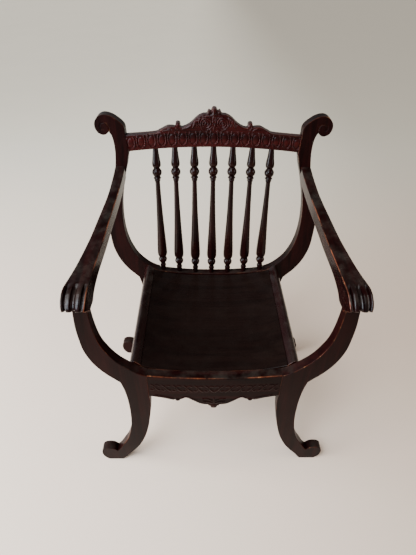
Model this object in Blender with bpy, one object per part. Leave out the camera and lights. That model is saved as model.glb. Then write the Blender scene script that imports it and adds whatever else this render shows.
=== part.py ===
"""Carved mahogany armchair of the curule kind: two U-shaped frames on scroll feet.

Metres, +Z up, the sitter faces -Y. The origin is under the middle of the chair, on the floor.
Outlines are given for the +X half, as offsets from the middle plane and heights above the floor;
depths are measured back from the front face of the front frame.
"""

import math

import bmesh
import bpy
from mathutils import Matrix, Vector

# Whole chair
FRONT_FACE_Y = -0.24165       # front face of the front frame, so that the chair is centred on Y
GAP = 0.0003                  # air left between two pieces that touch
FRONT_BOARD = 0.027           # thickness of the front legs
BACK_FACE = 0.435             # front face of the back frame, behind the front face
BACK_BOARD = 0.030            # thickness of the back posts
RAKE = math.radians(5.9)      # lean of the back above the seat
BEND_LOW = 0.38               # the sawn bend of the back posts starts here
BEND_HIGH = 0.46              # and ends here

# Feet and legs, shared by the front and the back boards
JOINT_X = 0.1735              # where a leg board meets its rail
SOLE_INNER = 0.277
SOLE_OUTER = 0.322
TOE = [(0.3345, 0.014), (0.3400, 0.032), (0.3375, 0.050), (0.327, 0.0605), (0.312, 0.0625), (0.3000, 0.058), (0.2915, 0.048)]
LEG_OUTER = [(0.2805, 0.062), (0.267, 0.088), (0.253, 0.115), (0.2427, 0.148), (0.2367, 0.178),
             (0.2328, 0.210), (0.2310, 0.255), (0.2317, 0.305), (0.2360, 0.351), (0.2435, 0.3860)]
LEG_INNER = [(0.1718, 0.300), (0.1745, 0.258), (0.1798, 0.220), (0.1858, 0.183), (0.1995, 0.129),
             (0.2195, 0.0815), (0.2385, 0.052), (0.259, 0.026), (0.272, 0.006)]
ARC_OUTER = [(0.2575, 0.4010), (0.2755, 0.4205), (0.2955, 0.4500), (0.309, 0.4795), (0.318, 0.5130),
             (0.3215, 0.552), (0.3225, 0.584)]

# Front frame
ARM_SEAT = 0.640              # top of the front board, under the arm
FRONT_ARC_TOP = [(0.3215, 0.612), (0.3195, ARM_SEAT)]
FRONT_INNER = [(0.2868, ARM_SEAT), (0.2855, 0.600), (0.282, 0.562), (0.275, 0.5275), (0.263, 0.499),
               (0.2505, 0.477), (0.238, 0.4605), (0.2195, 0.4425), (0.1965, 0.4225), (JOINT_X, 0.4105)]
FRONT_RAIL_SETBACK = 0.0008
FRONT_RAIL_LOW = 0.3265       # lower corner of the rail at the leg
FRONT_RAIL_TOP_MID = 0.399
FRONT_APRON = [(0.137, 0.3175), (0.119, 0.311), (0.107, 0.308)]
FRONT_APRON_KNOB = (0.098, 0.310, 0.006)
FRONT_APRON_SWAG = [(0.089, 0.311), (0.0745, 0.3175), (0.0575, 0.306), (0.0385, 0.292), (0.024, 0.289),
                    (0.011, 0.283), (0.0, 0.271)]

# Back frame
BACK_RAIL_LOW = 0.345
BACK_RAIL_TOP_MID = 0.400
BACK_RAIL_TOP_END = 0.4135
BACK_RAIL_DEPTH = 0.027
POST_INNER = [(0.2435, 0.795), (0.2485, 0.770), (0.2575, 0.738), (0.2665, 0.700), (0.2735, 0.660),
              (0.2765, 0.620), (0.2765, 0.585), (0.2735, 0.552), (0.2665, 0.520), (0.256, 0.492),
              (0.242, 0.4665), (0.2225, 0.4445), (0.199, 0.4255), (JOINT_X, BACK_RAIL_TOP_END)]
POST_OUTER = [(0.317, 0.622), (0.3085, 0.660), (0.2975, 0.700), (0.288, 0.738), (0.282, 0.772),
              (0.279, 0.805), (0.280, 0.832), (0.284, 0.852), (0.2905, 0.8625)]
SCROLL = [(0.298, 0.856), (0.308, 0.854), (0.320, 0.8595), (0.3275, 0.872), (0.3275, 0.887),
          (0.319, 0.900), (0.306, 0.907), (0.291, 0.9065), (0.275, 0.900), (0.259, 0.886),
          (0.2508, 0.874), (0.2475, 0.860)]
CREST_X = 0.2405              # where a post meets the crest rail
CREST_LOW_END = 0.808
CREST_LOW_MID = 0.822
CREST_THICKNESS = 0.022
CREST_SETBACK = 0.003
CREST_TOP_END = (0.2465, 0.852)
CREST_TOP = [(0.169, 0.8585), (0.141, 0.870), (0.126, 0.8755), (0.110, 0.8755)]
CREST_KNOB = (0.100, 0.8785, 0.0075)
CREST_CENTRE = [(0.089, 0.8735), (0.078, 0.8765), (0.064, 0.885), (0.052, 0.896), (0.042, 0.9035),
                (0.030, 0.9085), (0.020, 0.9095), (0.0144, 0.918), (0.0095, 0.9165), (0.006, 0.9235), (0.0, 0.925)]
OVAL_PITCH = 0.0292
OVAL_COUNT = 15
OVAL_HEIGHT = 0.847
OVAL_DROP = 0.27              # the band of ovals falls by this times the square of x
OVAL_SIZE = (0.0100, 0.0040, 0.0145)
OVAL_SINK = 0.0007            # how far the middle of an oval lies behind the face of the crest rail

# Spindles: the profile is (share of the visible length from the foot, radius)
SPINDLE_COUNT = 7
SPINDLE_TOP_PITCH = 0.0554
SPINDLE_FOOT_PITCH = 0.0538
TENON_RADIUS = 0.0050
TENON_LENGTH = 0.012
SPINDLE_PROFILE = [(0.000, 0.0078), (0.022, 0.0080), (0.040, 0.0094), (0.060, 0.0074), (0.078, 0.0114),
                   (0.096, 0.0134), (0.114, 0.0110), (0.124, 0.0098), (0.142, 0.0138), (0.180, 0.0143),
                   (0.420, 0.0096), (0.620, 0.0072), (0.745, 0.0068), (0.770, 0.0120), (0.790, 0.0082),
                   (0.814, 0.0142), (0.840, 0.0084), (0.868, 0.0121), (1.000, 0.0080)]

# Arms: (depth, inner x, outer x, underside, top), from the knuckle to the back post
ARM_STATIONS = [(-0.032, 0.288, 0.324, 0.660, 0.674), (-0.0285, 0.283, 0.329, 0.6525, 0.682),
                (-0.019, 0.2805, 0.3325, 0.6465, 0.690), (-0.007, 0.2795, 0.3335, 0.6405, 0.694),
                (0.015, 0.279, 0.333, 0.6400, 0.695), (0.033, 0.279, 0.330, 0.6400, 0.6955),
                (0.055, 0.2785, 0.3255, 0.652, 0.697), (0.100, 0.276, 0.3170, 0.665, 0.702),
                (0.180, 0.271, 0.3055, 0.676, 0.712), (0.250, 0.2665, 0.2965, 0.689, 0.7255),
                (0.340, 0.2595, 0.2860, 0.707, 0.743), (0.420, 0.2560, 0.2835, 0.722, 0.757),
                (0.470, 0.2550, 0.2830, 0.733, 0.768)]
ARM_CORNER = 0.007

# Seat
SIDE_OUTER_X = 0.2205
SIDE_LEDGE_X = 0.1765
SIDE_LOW = 0.352
SIDE_TOP = [(0.2205, 0.4285), (0.2165, 0.4345), (0.2105, 0.4368)]    # rounded outer edge, from outside
SIDE_TOP_INNER = 0.4215
PANEL_X = 0.190
PANEL_MID = 0.397             # top of the panel on the middle plane
PANEL_RISE = 0.0235           # how far its edges rise above the middle
PANEL_THICKNESS = 0.012
LEDGE_CLEARANCE = 0.0006
BLOCK_LEG = 0.050
BLOCK_END = 0.010
BLOCK_LOW = 0.360
BLOCK_TOP = 0.389

# Dowels and screws
DOWEL_RADIUS = 0.004
DOWEL_LENGTH = 0.030
DOWEL_PLAY = 0.0003
FRONT_DOWEL_HEIGHTS = (0.349, 0.386)
BACK_DOWEL_HEIGHTS = (0.362, 0.387)
SIDE_DOWEL_HEIGHTS = (0.372, 0.402)
SIDE_DOWEL_X = 0.2040
CREST_DOWEL_HEIGHTS = (0.822, 0.845)
ARM_DOWEL_X = 0.3035
ARM_DOWEL_LENGTH = 0.036
ARM_SCREW_X = 0.2695
ARM_SCREW_HEIGHT = 0.752
SCREW_SHANK = 0.0021
SCREW_HEAD = 0.0042
SCREW_HEAD_DEPTH = 0.003
ARM_SCREW_LENGTH = 0.045
BLOCK_SCREW_LENGTH = 0.036
BLOCK_SCREW_ALONG = 0.036     # from the corner to a block screw
BLOCK_SCREW_HEAD = 0.0215     # from the corner to its head
SINK_REACH = 0.020            # how far the cutter of a screw head's sink stands out
ROUND_SEGMENTS = 10
SCREW_SEGMENTS = 8
CURVE_STEPS = 2

SIDES = {"left": -1.0, "right": 1.0}

MAHOGANY = (0.060, 0.024, 0.018)
SEAT_COLOUR = (0.022, 0.017, 0.016)
BEECH = (0.46, 0.33, 0.20)
STEEL = (0.35, 0.34, 0.32)


def clear_scene():
    """Remove every object that the opened file holds."""
    for old in list(bpy.data.objects):
        bpy.data.objects.remove(old, do_unlink=True)


def material(name, colour, roughness, metallic=0.0):
    """Make one Principled material."""
    made = bpy.data.materials.new(name)
    made.use_nodes = True
    shader = made.node_tree.nodes["Principled BSDF"]
    shader.inputs["Base Color"].default_value = (*colour, 1.0)
    shader.inputs["Roughness"].default_value = roughness
    shader.inputs["Metallic"].default_value = metallic
    return made


def add_object(name, mesh_data, finish, smooth=False):
    """Put a bmesh into the scene as one named object and free the bmesh."""
    bmesh.ops.remove_doubles(mesh_data, verts=mesh_data.verts, dist=0.000005)
    bmesh.ops.recalc_face_normals(mesh_data, faces=mesh_data.faces)
    mesh = bpy.data.meshes.new(name)
    mesh_data.to_mesh(mesh)
    mesh_data.free()
    mesh.materials.append(finish)
    for face in mesh.polygons:
        face.use_smooth = smooth
    made = bpy.data.objects.new(name, mesh)
    bpy.context.scene.collection.objects.link(made)
    return made


def soften(target, width, segments=1):
    """Round the sharp edges of a board."""
    bevel = target.modifiers.new("rounded_edges", "BEVEL")
    bevel.width = width
    bevel.segments = segments
    bevel.limit_method = "ANGLE"
    bevel.angle_limit = math.radians(40.0)


def drill(target, holes):
    """Cut holes in a piece. Each hole is (start, end, rings), with its rings measured from the start."""
    cutting = bmesh.new()
    for start, end, rings in holes:
        along = (end - start).normalized()
        place = Matrix.Translation(start) @ along.to_track_quat("Z", "Y").to_matrix().to_4x4()
        turned(cutting, rings, ROUND_SEGMENTS, place)
    cutter = add_object(target.name + "_holes", cutting, target.data.materials[0])
    cutter.display_type = "WIRE"
    cutter.hide_render = True
    cut = target.modifiers.new("holes", "BOOLEAN")
    cut.operation = "DIFFERENCE"
    cut.solver = "EXACT"
    cut.object = cutter


def turned(mesh_data, rings, segments, place=Matrix.Identity(4)):
    """Add a closed turned body along +Z from (height, radius) rings."""
    loops = []
    for height, radius in rings:
        ring = []
        for step in range(segments):
            angle = 2.0 * math.pi * step / segments
            corner = Vector((radius * math.cos(angle), radius * math.sin(angle), height))
            ring.append(mesh_data.verts.new(place @ corner))
        loops.append(ring)
    for lower, upper in zip(loops, loops[1:]):
        for step in range(segments):
            after = (step + 1) % segments
            mesh_data.faces.new((lower[step], lower[after], upper[after], upper[step]))
    mesh_data.faces.new(loops[0][::-1])
    mesh_data.faces.new(loops[-1])


def smooth_run(points, steps):
    """Return points on a smooth curve through the given ones, without the last."""
    padded = [points[0]] + list(points) + [points[-1]]
    curve = []
    for before, start, end, after in zip(padded, padded[1:], padded[2:], padded[3:]):
        for step in range(steps):
            t = step / steps
            curve.append(tuple(
                0.5 * (2.0 * b + (c - a) * t + (2.0 * a - 5.0 * b + 4.0 * c - d) * t * t
                       + (3.0 * b - a - 3.0 * c + d) * t ** 3)
                for a, b, c, d in zip(before, start, end, after)))
    return curve


def rake_offset(height):
    """Return how far the back has leaned back at a height."""
    slope = math.tan(RAKE)
    if height <= BEND_LOW:
        return 0.0
    if height >= BEND_HIGH:
        return slope * (height - (BEND_LOW + BEND_HIGH) / 2.0)
    return slope * (height - BEND_LOW) ** 2 / (2.0 * (BEND_HIGH - BEND_LOW))


def board(name, outline, front, back, finish, side=1.0, raked=False):
    """Saw a board from an outline of (x, z) points and lean it with the back where asked."""
    mesh_data = bmesh.new()
    corners = [mesh_data.verts.new((side * x, FRONT_FACE_Y + front, z)) for x, z in outline]
    face = mesh_data.faces.new(corners)
    pushed = bmesh.ops.extrude_face_region(mesh_data, geom=[face])
    moved = [item for item in pushed["geom"] if isinstance(item, bmesh.types.BMVert)]
    bmesh.ops.translate(mesh_data, verts=moved, vec=(0.0, back - front, 0.0))
    if raked:
        bend(mesh_data)
    return add_object(name, mesh_data, finish)


def bend(mesh_data):
    """Lean everything above the seat back by the rake, along a smooth bend."""
    cuts = 4
    for index in range(cuts + 1):
        height = BEND_LOW + (BEND_HIGH - BEND_LOW) * index / cuts
        everything = mesh_data.verts[:] + mesh_data.edges[:] + mesh_data.faces[:]
        bmesh.ops.bisect_plane(mesh_data, geom=everything, plane_co=(0.0, 0.0, height),
                               plane_no=(0.0, 0.0, 1.0), dist=0.000001)
    for vert in mesh_data.verts:
        vert.co.y += rake_offset(vert.co.z)


def leg_outline(inner_top, rail_low):
    """Return the runs of a leg from its rail joint, round the foot and up its outer side."""
    inner = [(JOINT_X, rail_low)] + LEG_INNER + [(SOLE_INNER, 0.0)]
    toe = [(SOLE_OUTER, 0.0)] + TOE
    outer = [TOE[-1]] + LEG_OUTER
    return [inner_top] + smooth_run(inner, CURVE_STEPS) + [inner[-1]] + smooth_run(toe, CURVE_STEPS) + smooth_run(outer, CURVE_STEPS)


def front_leg(name, side, finish):
    """One board: arm support, leg and scroll foot."""
    outline = smooth_run(FRONT_INNER, CURVE_STEPS)
    outline += leg_outline(FRONT_INNER[-1], FRONT_RAIL_LOW)
    outline += smooth_run([LEG_OUTER[-1]] + ARC_OUTER + FRONT_ARC_TOP, CURVE_STEPS) + [FRONT_ARC_TOP[-1]]
    made = board(name, outline, 0.0, FRONT_BOARD, finish, side)
    soften(made, 0.0016)
    holes = rail_dowels(side, FRONT_DOWEL_HEIGHTS, FRONT_BOARD / 2.0, JOINT_X)
    holes += side_rail_dowels(side, 0.0)
    holes += [arm_dowel(side)]
    drill(made, [widened(hole) for hole in holes])
    return made


def back_post(name, side, finish):
    """One board: scroll, post, arc to the back rail, leg and scroll foot."""
    outline = smooth_run([(CREST_X, CREST_LOW_END - 0.006)] + POST_INNER, CURVE_STEPS)
    outline += leg_outline(POST_INNER[-1], BACK_RAIL_LOW)
    outline += smooth_run([LEG_OUTER[-1]] + ARC_OUTER + POST_OUTER, CURVE_STEPS)
    outline += smooth_run([POST_OUTER[-1]] + SCROLL, CURVE_STEPS) + [SCROLL[-1]]
    made = board(name, outline, BACK_FACE, BACK_FACE + BACK_BOARD, finish, side, raked=True)
    soften(made, 0.0016)
    holes = rail_dowels(side, BACK_DOWEL_HEIGHTS, BACK_FACE + BACK_RAIL_DEPTH / 2.0, JOINT_X)
    holes += side_rail_dowels(side, BACK_FACE)
    holes += crest_dowels(side)
    drill(made, [widened(hole) for hole in holes] + [screw_hole(*arm_screw(side))])
    return made


def mirrored(half):
    """Return a full outline from its half, which runs from the middle plane to the +X end or back."""
    return [(-x, z) for x, z in half]


def knob_arc(centre_x, centre_z, radius, start, end, steps=5):
    """Return points round a small carved knob, from one angle in degrees to another."""
    points = []
    for step in range(steps + 1):
        angle = math.radians(start + (end - start) * step / steps)
        points.append((centre_x + radius * math.cos(angle), centre_z + radius * math.sin(angle)))
    return points


def concave_top(half_width, middle, end, steps=8):
    """Return the hollow top of a rail from +X to -X."""
    points = []
    for step in range(2 * steps + 1):
        x = half_width * (1.0 - step / steps)
        points.append((x, middle + (end - middle) * (x / half_width) ** 2))
    return points


def front_rail(name, finish):
    """The carved front rail with its apron, two knobs and drop."""
    end = JOINT_X - GAP
    half = smooth_run([(end, FRONT_RAIL_LOW)] + FRONT_APRON, CURVE_STEPS) + [FRONT_APRON[-1]]
    half += knob_arc(*FRONT_APRON_KNOB, 10.0, -190.0)
    half += smooth_run(FRONT_APRON_SWAG, CURVE_STEPS)
    outline = concave_top(end, FRONT_RAIL_TOP_MID, FRONT_INNER[-1][1])
    outline += mirrored(half) + [FRONT_APRON_SWAG[-1]] + half[::-1]
    made = board(name, outline, FRONT_RAIL_SETBACK, FRONT_BOARD, finish)
    soften(made, 0.0010)
    holes = []
    for side in SIDES.values():
        holes += rail_dowels(side, FRONT_DOWEL_HEIGHTS, FRONT_BOARD / 2.0, JOINT_X)
    cuts = [screw_hole(*block_screws(side, 0.0)[1]) for side in SIDES.values()]
    drill(made, [widened(hole) for hole in holes] + cuts)
    return made


def back_rail(name, finish):
    """The plain back rail, hollow on top, that carries the spindles."""
    end = JOINT_X - GAP
    outline = concave_top(end, BACK_RAIL_TOP_MID, BACK_RAIL_TOP_END)
    outline += [(-end, BACK_RAIL_LOW), (end, BACK_RAIL_LOW)]
    made = board(name, outline, BACK_FACE, BACK_FACE + BACK_RAIL_DEPTH, finish, raked=True)
    soften(made, 0.0010)
    holes = [spindle_socket(index, "foot") for index in range(SPINDLE_COUNT)]
    for side in SIDES.values():
        holes += rail_dowels(side, BACK_DOWEL_HEIGHTS, BACK_FACE + BACK_RAIL_DEPTH / 2.0, JOINT_X)
    cuts = [screw_hole(*block_screws(side, BACK_FACE)[1]) for side in SIDES.values()]
    drill(made, [widened(hole) for hole in holes] + cuts)
    return made


def crest_rail(name, finish):
    """The carved crest rail between the two posts, with its band of ovals."""
    end = CREST_X - GAP
    top_end = (CREST_TOP_END[0] - GAP, CREST_TOP_END[1])
    half = smooth_run([top_end] + CREST_TOP, CURVE_STEPS) + [CREST_TOP[-1]]
    half += knob_arc(*CREST_KNOB, -10.0, 190.0)
    half += smooth_run(CREST_CENTRE, CURVE_STEPS)
    outline = half + [CREST_CENTRE[-1]] + mirrored(half)[::-1]
    outline += concave_top(-end, CREST_LOW_MID, CREST_LOW_END)
    front = BACK_FACE + CREST_SETBACK
    made = board(name, outline, front, front + CREST_THICKNESS, finish, raked=True)
    soften(made, 0.0010)
    band = bmesh.new()
    for index in range(OVAL_COUNT):
        x = (index - (OVAL_COUNT - 1) / 2.0) * OVAL_PITCH
        z = OVAL_HEIGHT - OVAL_DROP * x * x
        y = FRONT_FACE_Y + front + rake_offset(z) + OVAL_SINK
        place = Matrix.Translation((x, y, z)) @ Matrix.Diagonal((*OVAL_SIZE, 1.0))
        bmesh.ops.create_uvsphere(band, u_segments=8, v_segments=6, radius=1.0, matrix=place)
    carving = add_object(name + "_ovals", band, finish)
    carving.display_type = "WIRE"
    carving.hide_render = True
    join = made.modifiers.new("carved_ovals", "BOOLEAN")
    join.operation = "UNION"
    join.solver = "EXACT"
    join.object = carving
    holes = [spindle_socket(index, "top") for index in range(SPINDLE_COUNT)]
    for side in SIDES.values():
        holes += crest_dowels(side)
    drill(made, [widened(hole) for hole in holes])
    return made


def spindle_ends(index):
    """Return the two shoulder points of a spindle, at the back rail and at the crest rail."""
    place = index - (SPINDLE_COUNT - 1) / 2.0
    foot_x, top_x = place * SPINDLE_FOOT_PITCH, place * SPINDLE_TOP_PITCH
    end = JOINT_X - GAP
    foot_z = BACK_RAIL_TOP_MID + (BACK_RAIL_TOP_END - BACK_RAIL_TOP_MID) * (foot_x / end) ** 2
    crest_end = CREST_X - GAP
    top_z = CREST_LOW_MID + (CREST_LOW_END - CREST_LOW_MID) * (top_x / crest_end) ** 2
    foot_y = FRONT_FACE_Y + BACK_FACE + BACK_RAIL_DEPTH / 2.0 + rake_offset(foot_z)
    top_y = FRONT_FACE_Y + BACK_FACE + CREST_SETBACK + CREST_THICKNESS / 2.0 + rake_offset(top_z)
    return Vector((foot_x, foot_y, foot_z)), Vector((top_x, top_y, top_z))


def spindle_socket(index, which):
    """Return the hole that takes one end of a spindle."""
    foot, top = spindle_ends(index)
    along = (top - foot).normalized()
    if which == "foot":
        return (foot - along * (TENON_LENGTH + 0.001), foot + along * 0.010, TENON_RADIUS)
    return (top - along * 0.010, top + along * (TENON_LENGTH + 0.001), TENON_RADIUS)


def spindle(name, index, finish):
    """One turned spindle with a round tenon at each end."""
    foot, top = spindle_ends(index)
    shoulder = 0.0022
    length = (top - foot).length - 2.0 * shoulder
    rings = [(-TENON_LENGTH, TENON_RADIUS), (0.0, TENON_RADIUS)]
    rings += [(share * length, radius) for share, radius in SPINDLE_PROFILE]
    rings += [(length, TENON_RADIUS), (length + TENON_LENGTH, TENON_RADIUS)]
    mesh_data = bmesh.new()
    turned(mesh_data, rings, ROUND_SEGMENTS)
    made = add_object(name, mesh_data, finish, smooth=True)
    along = (top - foot).normalized()
    place_along(made, foot + along * shoulder, along)
    return made


def arm(name, side, finish):
    """One arm, from its knuckle over the front board to the face of the back post."""
    mesh_data = bmesh.new()
    loops = []
    for depth, inner, outer, low, high in ARM_STATIONS:
        at_post = depth == ARM_STATIONS[-1][0]
        corner = min(ARM_CORNER, 0.45 * (high - low), 0.45 * (outer - inner))
        loops.append(arm_section(mesh_data, side, depth, inner, outer, low + GAP, high, corner, at_post))
    for lower, upper in zip(loops, loops[1:]):
        for step, vert in enumerate(lower):
            after = (step + 1) % len(lower)
            mesh_data.faces.new((vert, lower[after], upper[after], upper[step]))
    mesh_data.faces.new(loops[0])
    mesh_data.faces.new(loops[-1])
    made = add_object(name, mesh_data, finish, smooth=True)
    drill(made, [widened(arm_dowel(side))] + [screw_hole(*arm_screw(side))])
    return made


def arm_section(mesh_data, side, depth, inner, outer, low, high, corner, at_post):
    """Add one rounded cross-section of an arm."""
    quarter = [(0.0, 1.0), (0.5, 0.866), (0.866, 0.5), (1.0, 0.0)]
    centres = [(outer - corner, high - corner, 1.0, 1.0), (outer - corner, low + corner, 1.0, -1.0),
               (inner + corner, low + corner, -1.0, -1.0), (inner + corner, high - corner, -1.0, 1.0)]
    ring = []
    for index, (x, z, sign_x, sign_z) in enumerate(centres):
        turns = quarter if index % 2 == 0 else quarter[::-1]
        for along_x, along_z in turns:
            height = z + sign_z * corner * along_z
            y = depth
            if at_post:
                y = BACK_FACE + rake_offset(height) - GAP
            ring.append(mesh_data.verts.new((side * (x + sign_x * corner * along_x), FRONT_FACE_Y + y, height)))
    return ring


def panel_top(x):
    """Return the height of the dished seat at a distance from the middle plane."""
    return PANEL_MID + PANEL_RISE * (abs(x) / PANEL_X) ** 3


def side_rail(name, side, finish):
    """A seat rail, rebated for the panel and sloped on top to follow the U of the frames."""
    wall = PANEL_X + 0.0005
    ledge_outer = panel_top(PANEL_X) - PANEL_THICKNESS - LEDGE_CLEARANCE
    ledge_inner = panel_top(SIDE_LEDGE_X) - PANEL_THICKNESS - LEDGE_CLEARANCE
    section = [(SIDE_OUTER_X, SIDE_LOW)] + SIDE_TOP
    section += [(wall, SIDE_TOP_INNER), (wall, ledge_outer), (SIDE_LEDGE_X, ledge_inner), (SIDE_LEDGE_X, SIDE_LOW)]
    made = board(name, section, FRONT_BOARD + GAP, BACK_FACE - GAP, finish, side)
    soften(made, 0.0010)
    holes = side_rail_dowels(side, 0.0) + side_rail_dowels(side, BACK_FACE)
    cuts = [screw_hole(*block_screws(side, depth)[0]) for depth in (0.0, BACK_FACE)]
    drill(made, [widened(hole) for hole in holes] + cuts)
    return made


def seat_panel(name, finish, steps=24):
    """The dished seat panel between the rails."""
    top, under = [], []
    for step in range(steps + 1):
        x = PANEL_X * (1.0 - 2.0 * step / steps)
        top.append((x, panel_top(x)))
        under.append((x, panel_top(x) - PANEL_THICKNESS))
    made = board(name, top + under[::-1], FRONT_BOARD + GAP, BACK_FACE - GAP, finish)
    soften(made, 0.0015)
    return made


def corner_block(name, side, depth, finish):
    """A glued and screwed corner block under the seat. Depth is 0 in front, or the back face."""
    corner_x = SIDE_LEDGE_X - GAP
    corner_y = FRONT_BOARD + GAP if depth == 0.0 else BACK_FACE - GAP
    into = 1.0 if depth == 0.0 else -1.0
    plan = [(corner_x, corner_y), (corner_x, corner_y + into * BLOCK_LEG),
            (corner_x - BLOCK_END, corner_y + into * BLOCK_LEG),
            (corner_x - BLOCK_LEG, corner_y + into * BLOCK_END), (corner_x - BLOCK_LEG, corner_y)]
    mesh_data = bmesh.new()
    base = [mesh_data.verts.new((side * x, FRONT_FACE_Y + y, BLOCK_LOW)) for x, y in plan]
    face = mesh_data.faces.new(base)
    pushed = bmesh.ops.extrude_face_region(mesh_data, geom=[face])
    moved = [item for item in pushed["geom"] if isinstance(item, bmesh.types.BMVert)]
    bmesh.ops.translate(mesh_data, verts=moved, vec=(0.0, 0.0, BLOCK_TOP - BLOCK_LOW))
    made = add_object(name, mesh_data, finish)
    drill(made, [screw_hole(*line) for line in block_screws(side, depth)])
    return made


def rail_dowels(side, heights, depth, joint_x):
    """Return the dowels across the joint of a leg board and its rail."""
    half = DOWEL_LENGTH / 2.0
    y = FRONT_FACE_Y + depth
    return [((side * (joint_x - half), y, z), (side * (joint_x + half), y, z), DOWEL_RADIUS) for z in heights]


def crest_dowels(side):
    """Return the dowels across the joint of a post and the crest rail."""
    half = DOWEL_LENGTH / 2.0
    rods = []
    for z in CREST_DOWEL_HEIGHTS:
        y = FRONT_FACE_Y + BACK_FACE + BACK_BOARD / 2.0 + rake_offset(z)
        rods.append(((side * (CREST_X - half), y, z), (side * (CREST_X + half), y, z), DOWEL_RADIUS))
    return rods


def side_rail_dowels(side, depth):
    """Return the dowels that hold a side rail to the front boards, or to the back ones."""
    face = FRONT_BOARD if depth == 0.0 else BACK_FACE
    half = DOWEL_LENGTH / 2.0
    y = FRONT_FACE_Y + face
    return [((side * SIDE_DOWEL_X, y - half, z), (side * SIDE_DOWEL_X, y + half, z), DOWEL_RADIUS)
            for z in SIDE_DOWEL_HEIGHTS]


def arm_dowel(side):
    """Return the upright dowel between the front board and the arm."""
    y = FRONT_FACE_Y + FRONT_BOARD / 2.0
    half = ARM_DOWEL_LENGTH / 2.0
    return ((side * ARM_DOWEL_X, y, ARM_SEAT - half), (side * ARM_DOWEL_X, y, ARM_SEAT + half), DOWEL_RADIUS)


def arm_screw(side):
    """Return the head face and the tip of the screw through a post into its arm."""
    y = FRONT_FACE_Y + BACK_FACE + BACK_BOARD + rake_offset(ARM_SCREW_HEIGHT) - DOWEL_PLAY
    head = Vector((side * ARM_SCREW_X, y, ARM_SCREW_HEIGHT))
    return head, head - Vector((0.0, ARM_SCREW_LENGTH, 0.0))


def block_screws(side, depth):
    """Return the two screws of a corner block: into the side rail, then into the end rail."""
    into = 1.0 if depth == 0.0 else -1.0
    corner_y = FRONT_FACE_Y + (FRONT_BOARD if depth == 0.0 else BACK_FACE)
    low = BLOCK_LOW + 0.3 * (BLOCK_TOP - BLOCK_LOW)
    high = BLOCK_LOW + 0.7 * (BLOCK_TOP - BLOCK_LOW)
    side_head = Vector((side * (SIDE_LEDGE_X - BLOCK_SCREW_HEAD), corner_y + into * BLOCK_SCREW_ALONG, low))
    end_head = Vector((side * (SIDE_LEDGE_X - BLOCK_SCREW_ALONG), corner_y + into * BLOCK_SCREW_HEAD, high))
    to_side = Vector((side * BLOCK_SCREW_LENGTH, 0.0, 0.0))
    to_end = Vector((0.0, -into * BLOCK_SCREW_LENGTH, 0.0))
    return [(side_head, side_head + to_side), (end_head, end_head + to_end)]


def screw_hole(head, tip):
    """Return the stepped hole of a screw: the sink of its head, then its shank."""
    along = (tip - head).normalized()
    start = head - along * SINK_REACH
    bottom = SINK_REACH + SCREW_HEAD_DEPTH + DOWEL_PLAY
    length = SINK_REACH + (tip - head).length + DOWEL_PLAY
    shank = SCREW_SHANK + DOWEL_PLAY
    return (start, tip, [(0.0, SCREW_HEAD), (bottom, SCREW_HEAD), (bottom, shank), (length, shank)])


def widened(rod):
    """Return the hole for a rod: a little wider and longer than the rod."""
    start, end, radius = Vector(rod[0]), Vector(rod[1]), rod[2] + DOWEL_PLAY
    along = (end - start).normalized() * DOWEL_PLAY
    length = (end - start).length + 2.0 * DOWEL_PLAY
    return (start - along, end + along, [(0.0, radius), (length, radius)])


def dowel(name, rod, finish):
    """One wooden dowel."""
    start, end, radius = Vector(rod[0]), Vector(rod[1]), rod[2]
    mesh_data = bmesh.new()
    turned(mesh_data, [(0.0, radius), ((end - start).length, radius)], ROUND_SEGMENTS)
    made = add_object(name, mesh_data, finish, smooth=True)
    place_along(made, start, (end - start).normalized())
    return made


def place_along(made, start, along):
    """Put a turned piece's foot at a point with its axis along a direction."""
    made.location = start
    made.rotation_mode = "QUATERNION"
    made.rotation_quaternion = along.to_track_quat("Z", "Y")


def screw(name, head, tip, finish):
    """A flat-headed screw with a plain shank."""
    length = (tip - head).length
    rings = [(0.0, SCREW_HEAD - DOWEL_PLAY), (SCREW_HEAD_DEPTH, SCREW_SHANK),
             (length - 2.0 * SCREW_SHANK, SCREW_SHANK), (length, 0.3 * SCREW_SHANK)]
    mesh_data = bmesh.new()
    turned(mesh_data, rings, SCREW_SEGMENTS)
    made = add_object(name, mesh_data, finish, smooth=True)
    place_along(made, head, (tip - head).normalized())
    return made


def add_dowels(word, side, finish):
    """Put in every dowel of one side of the chair."""
    joints = {"front_rail": rail_dowels(side, FRONT_DOWEL_HEIGHTS, FRONT_BOARD / 2.0, JOINT_X),
              "back_rail": rail_dowels(side, BACK_DOWEL_HEIGHTS, BACK_FACE + BACK_RAIL_DEPTH / 2.0, JOINT_X),
              "side_rail_front": side_rail_dowels(side, 0.0),
              "side_rail_back": side_rail_dowels(side, BACK_FACE),
              "crest": crest_dowels(side)}
    for joint, rods in joints.items():
        for place, rod in zip(("lower", "upper"), rods):
            dowel("dowel_%s_%s_%s" % (joint, word, place), rod, finish)
    dowel("dowel_arm_" + word, arm_dowel(side), finish)


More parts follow.
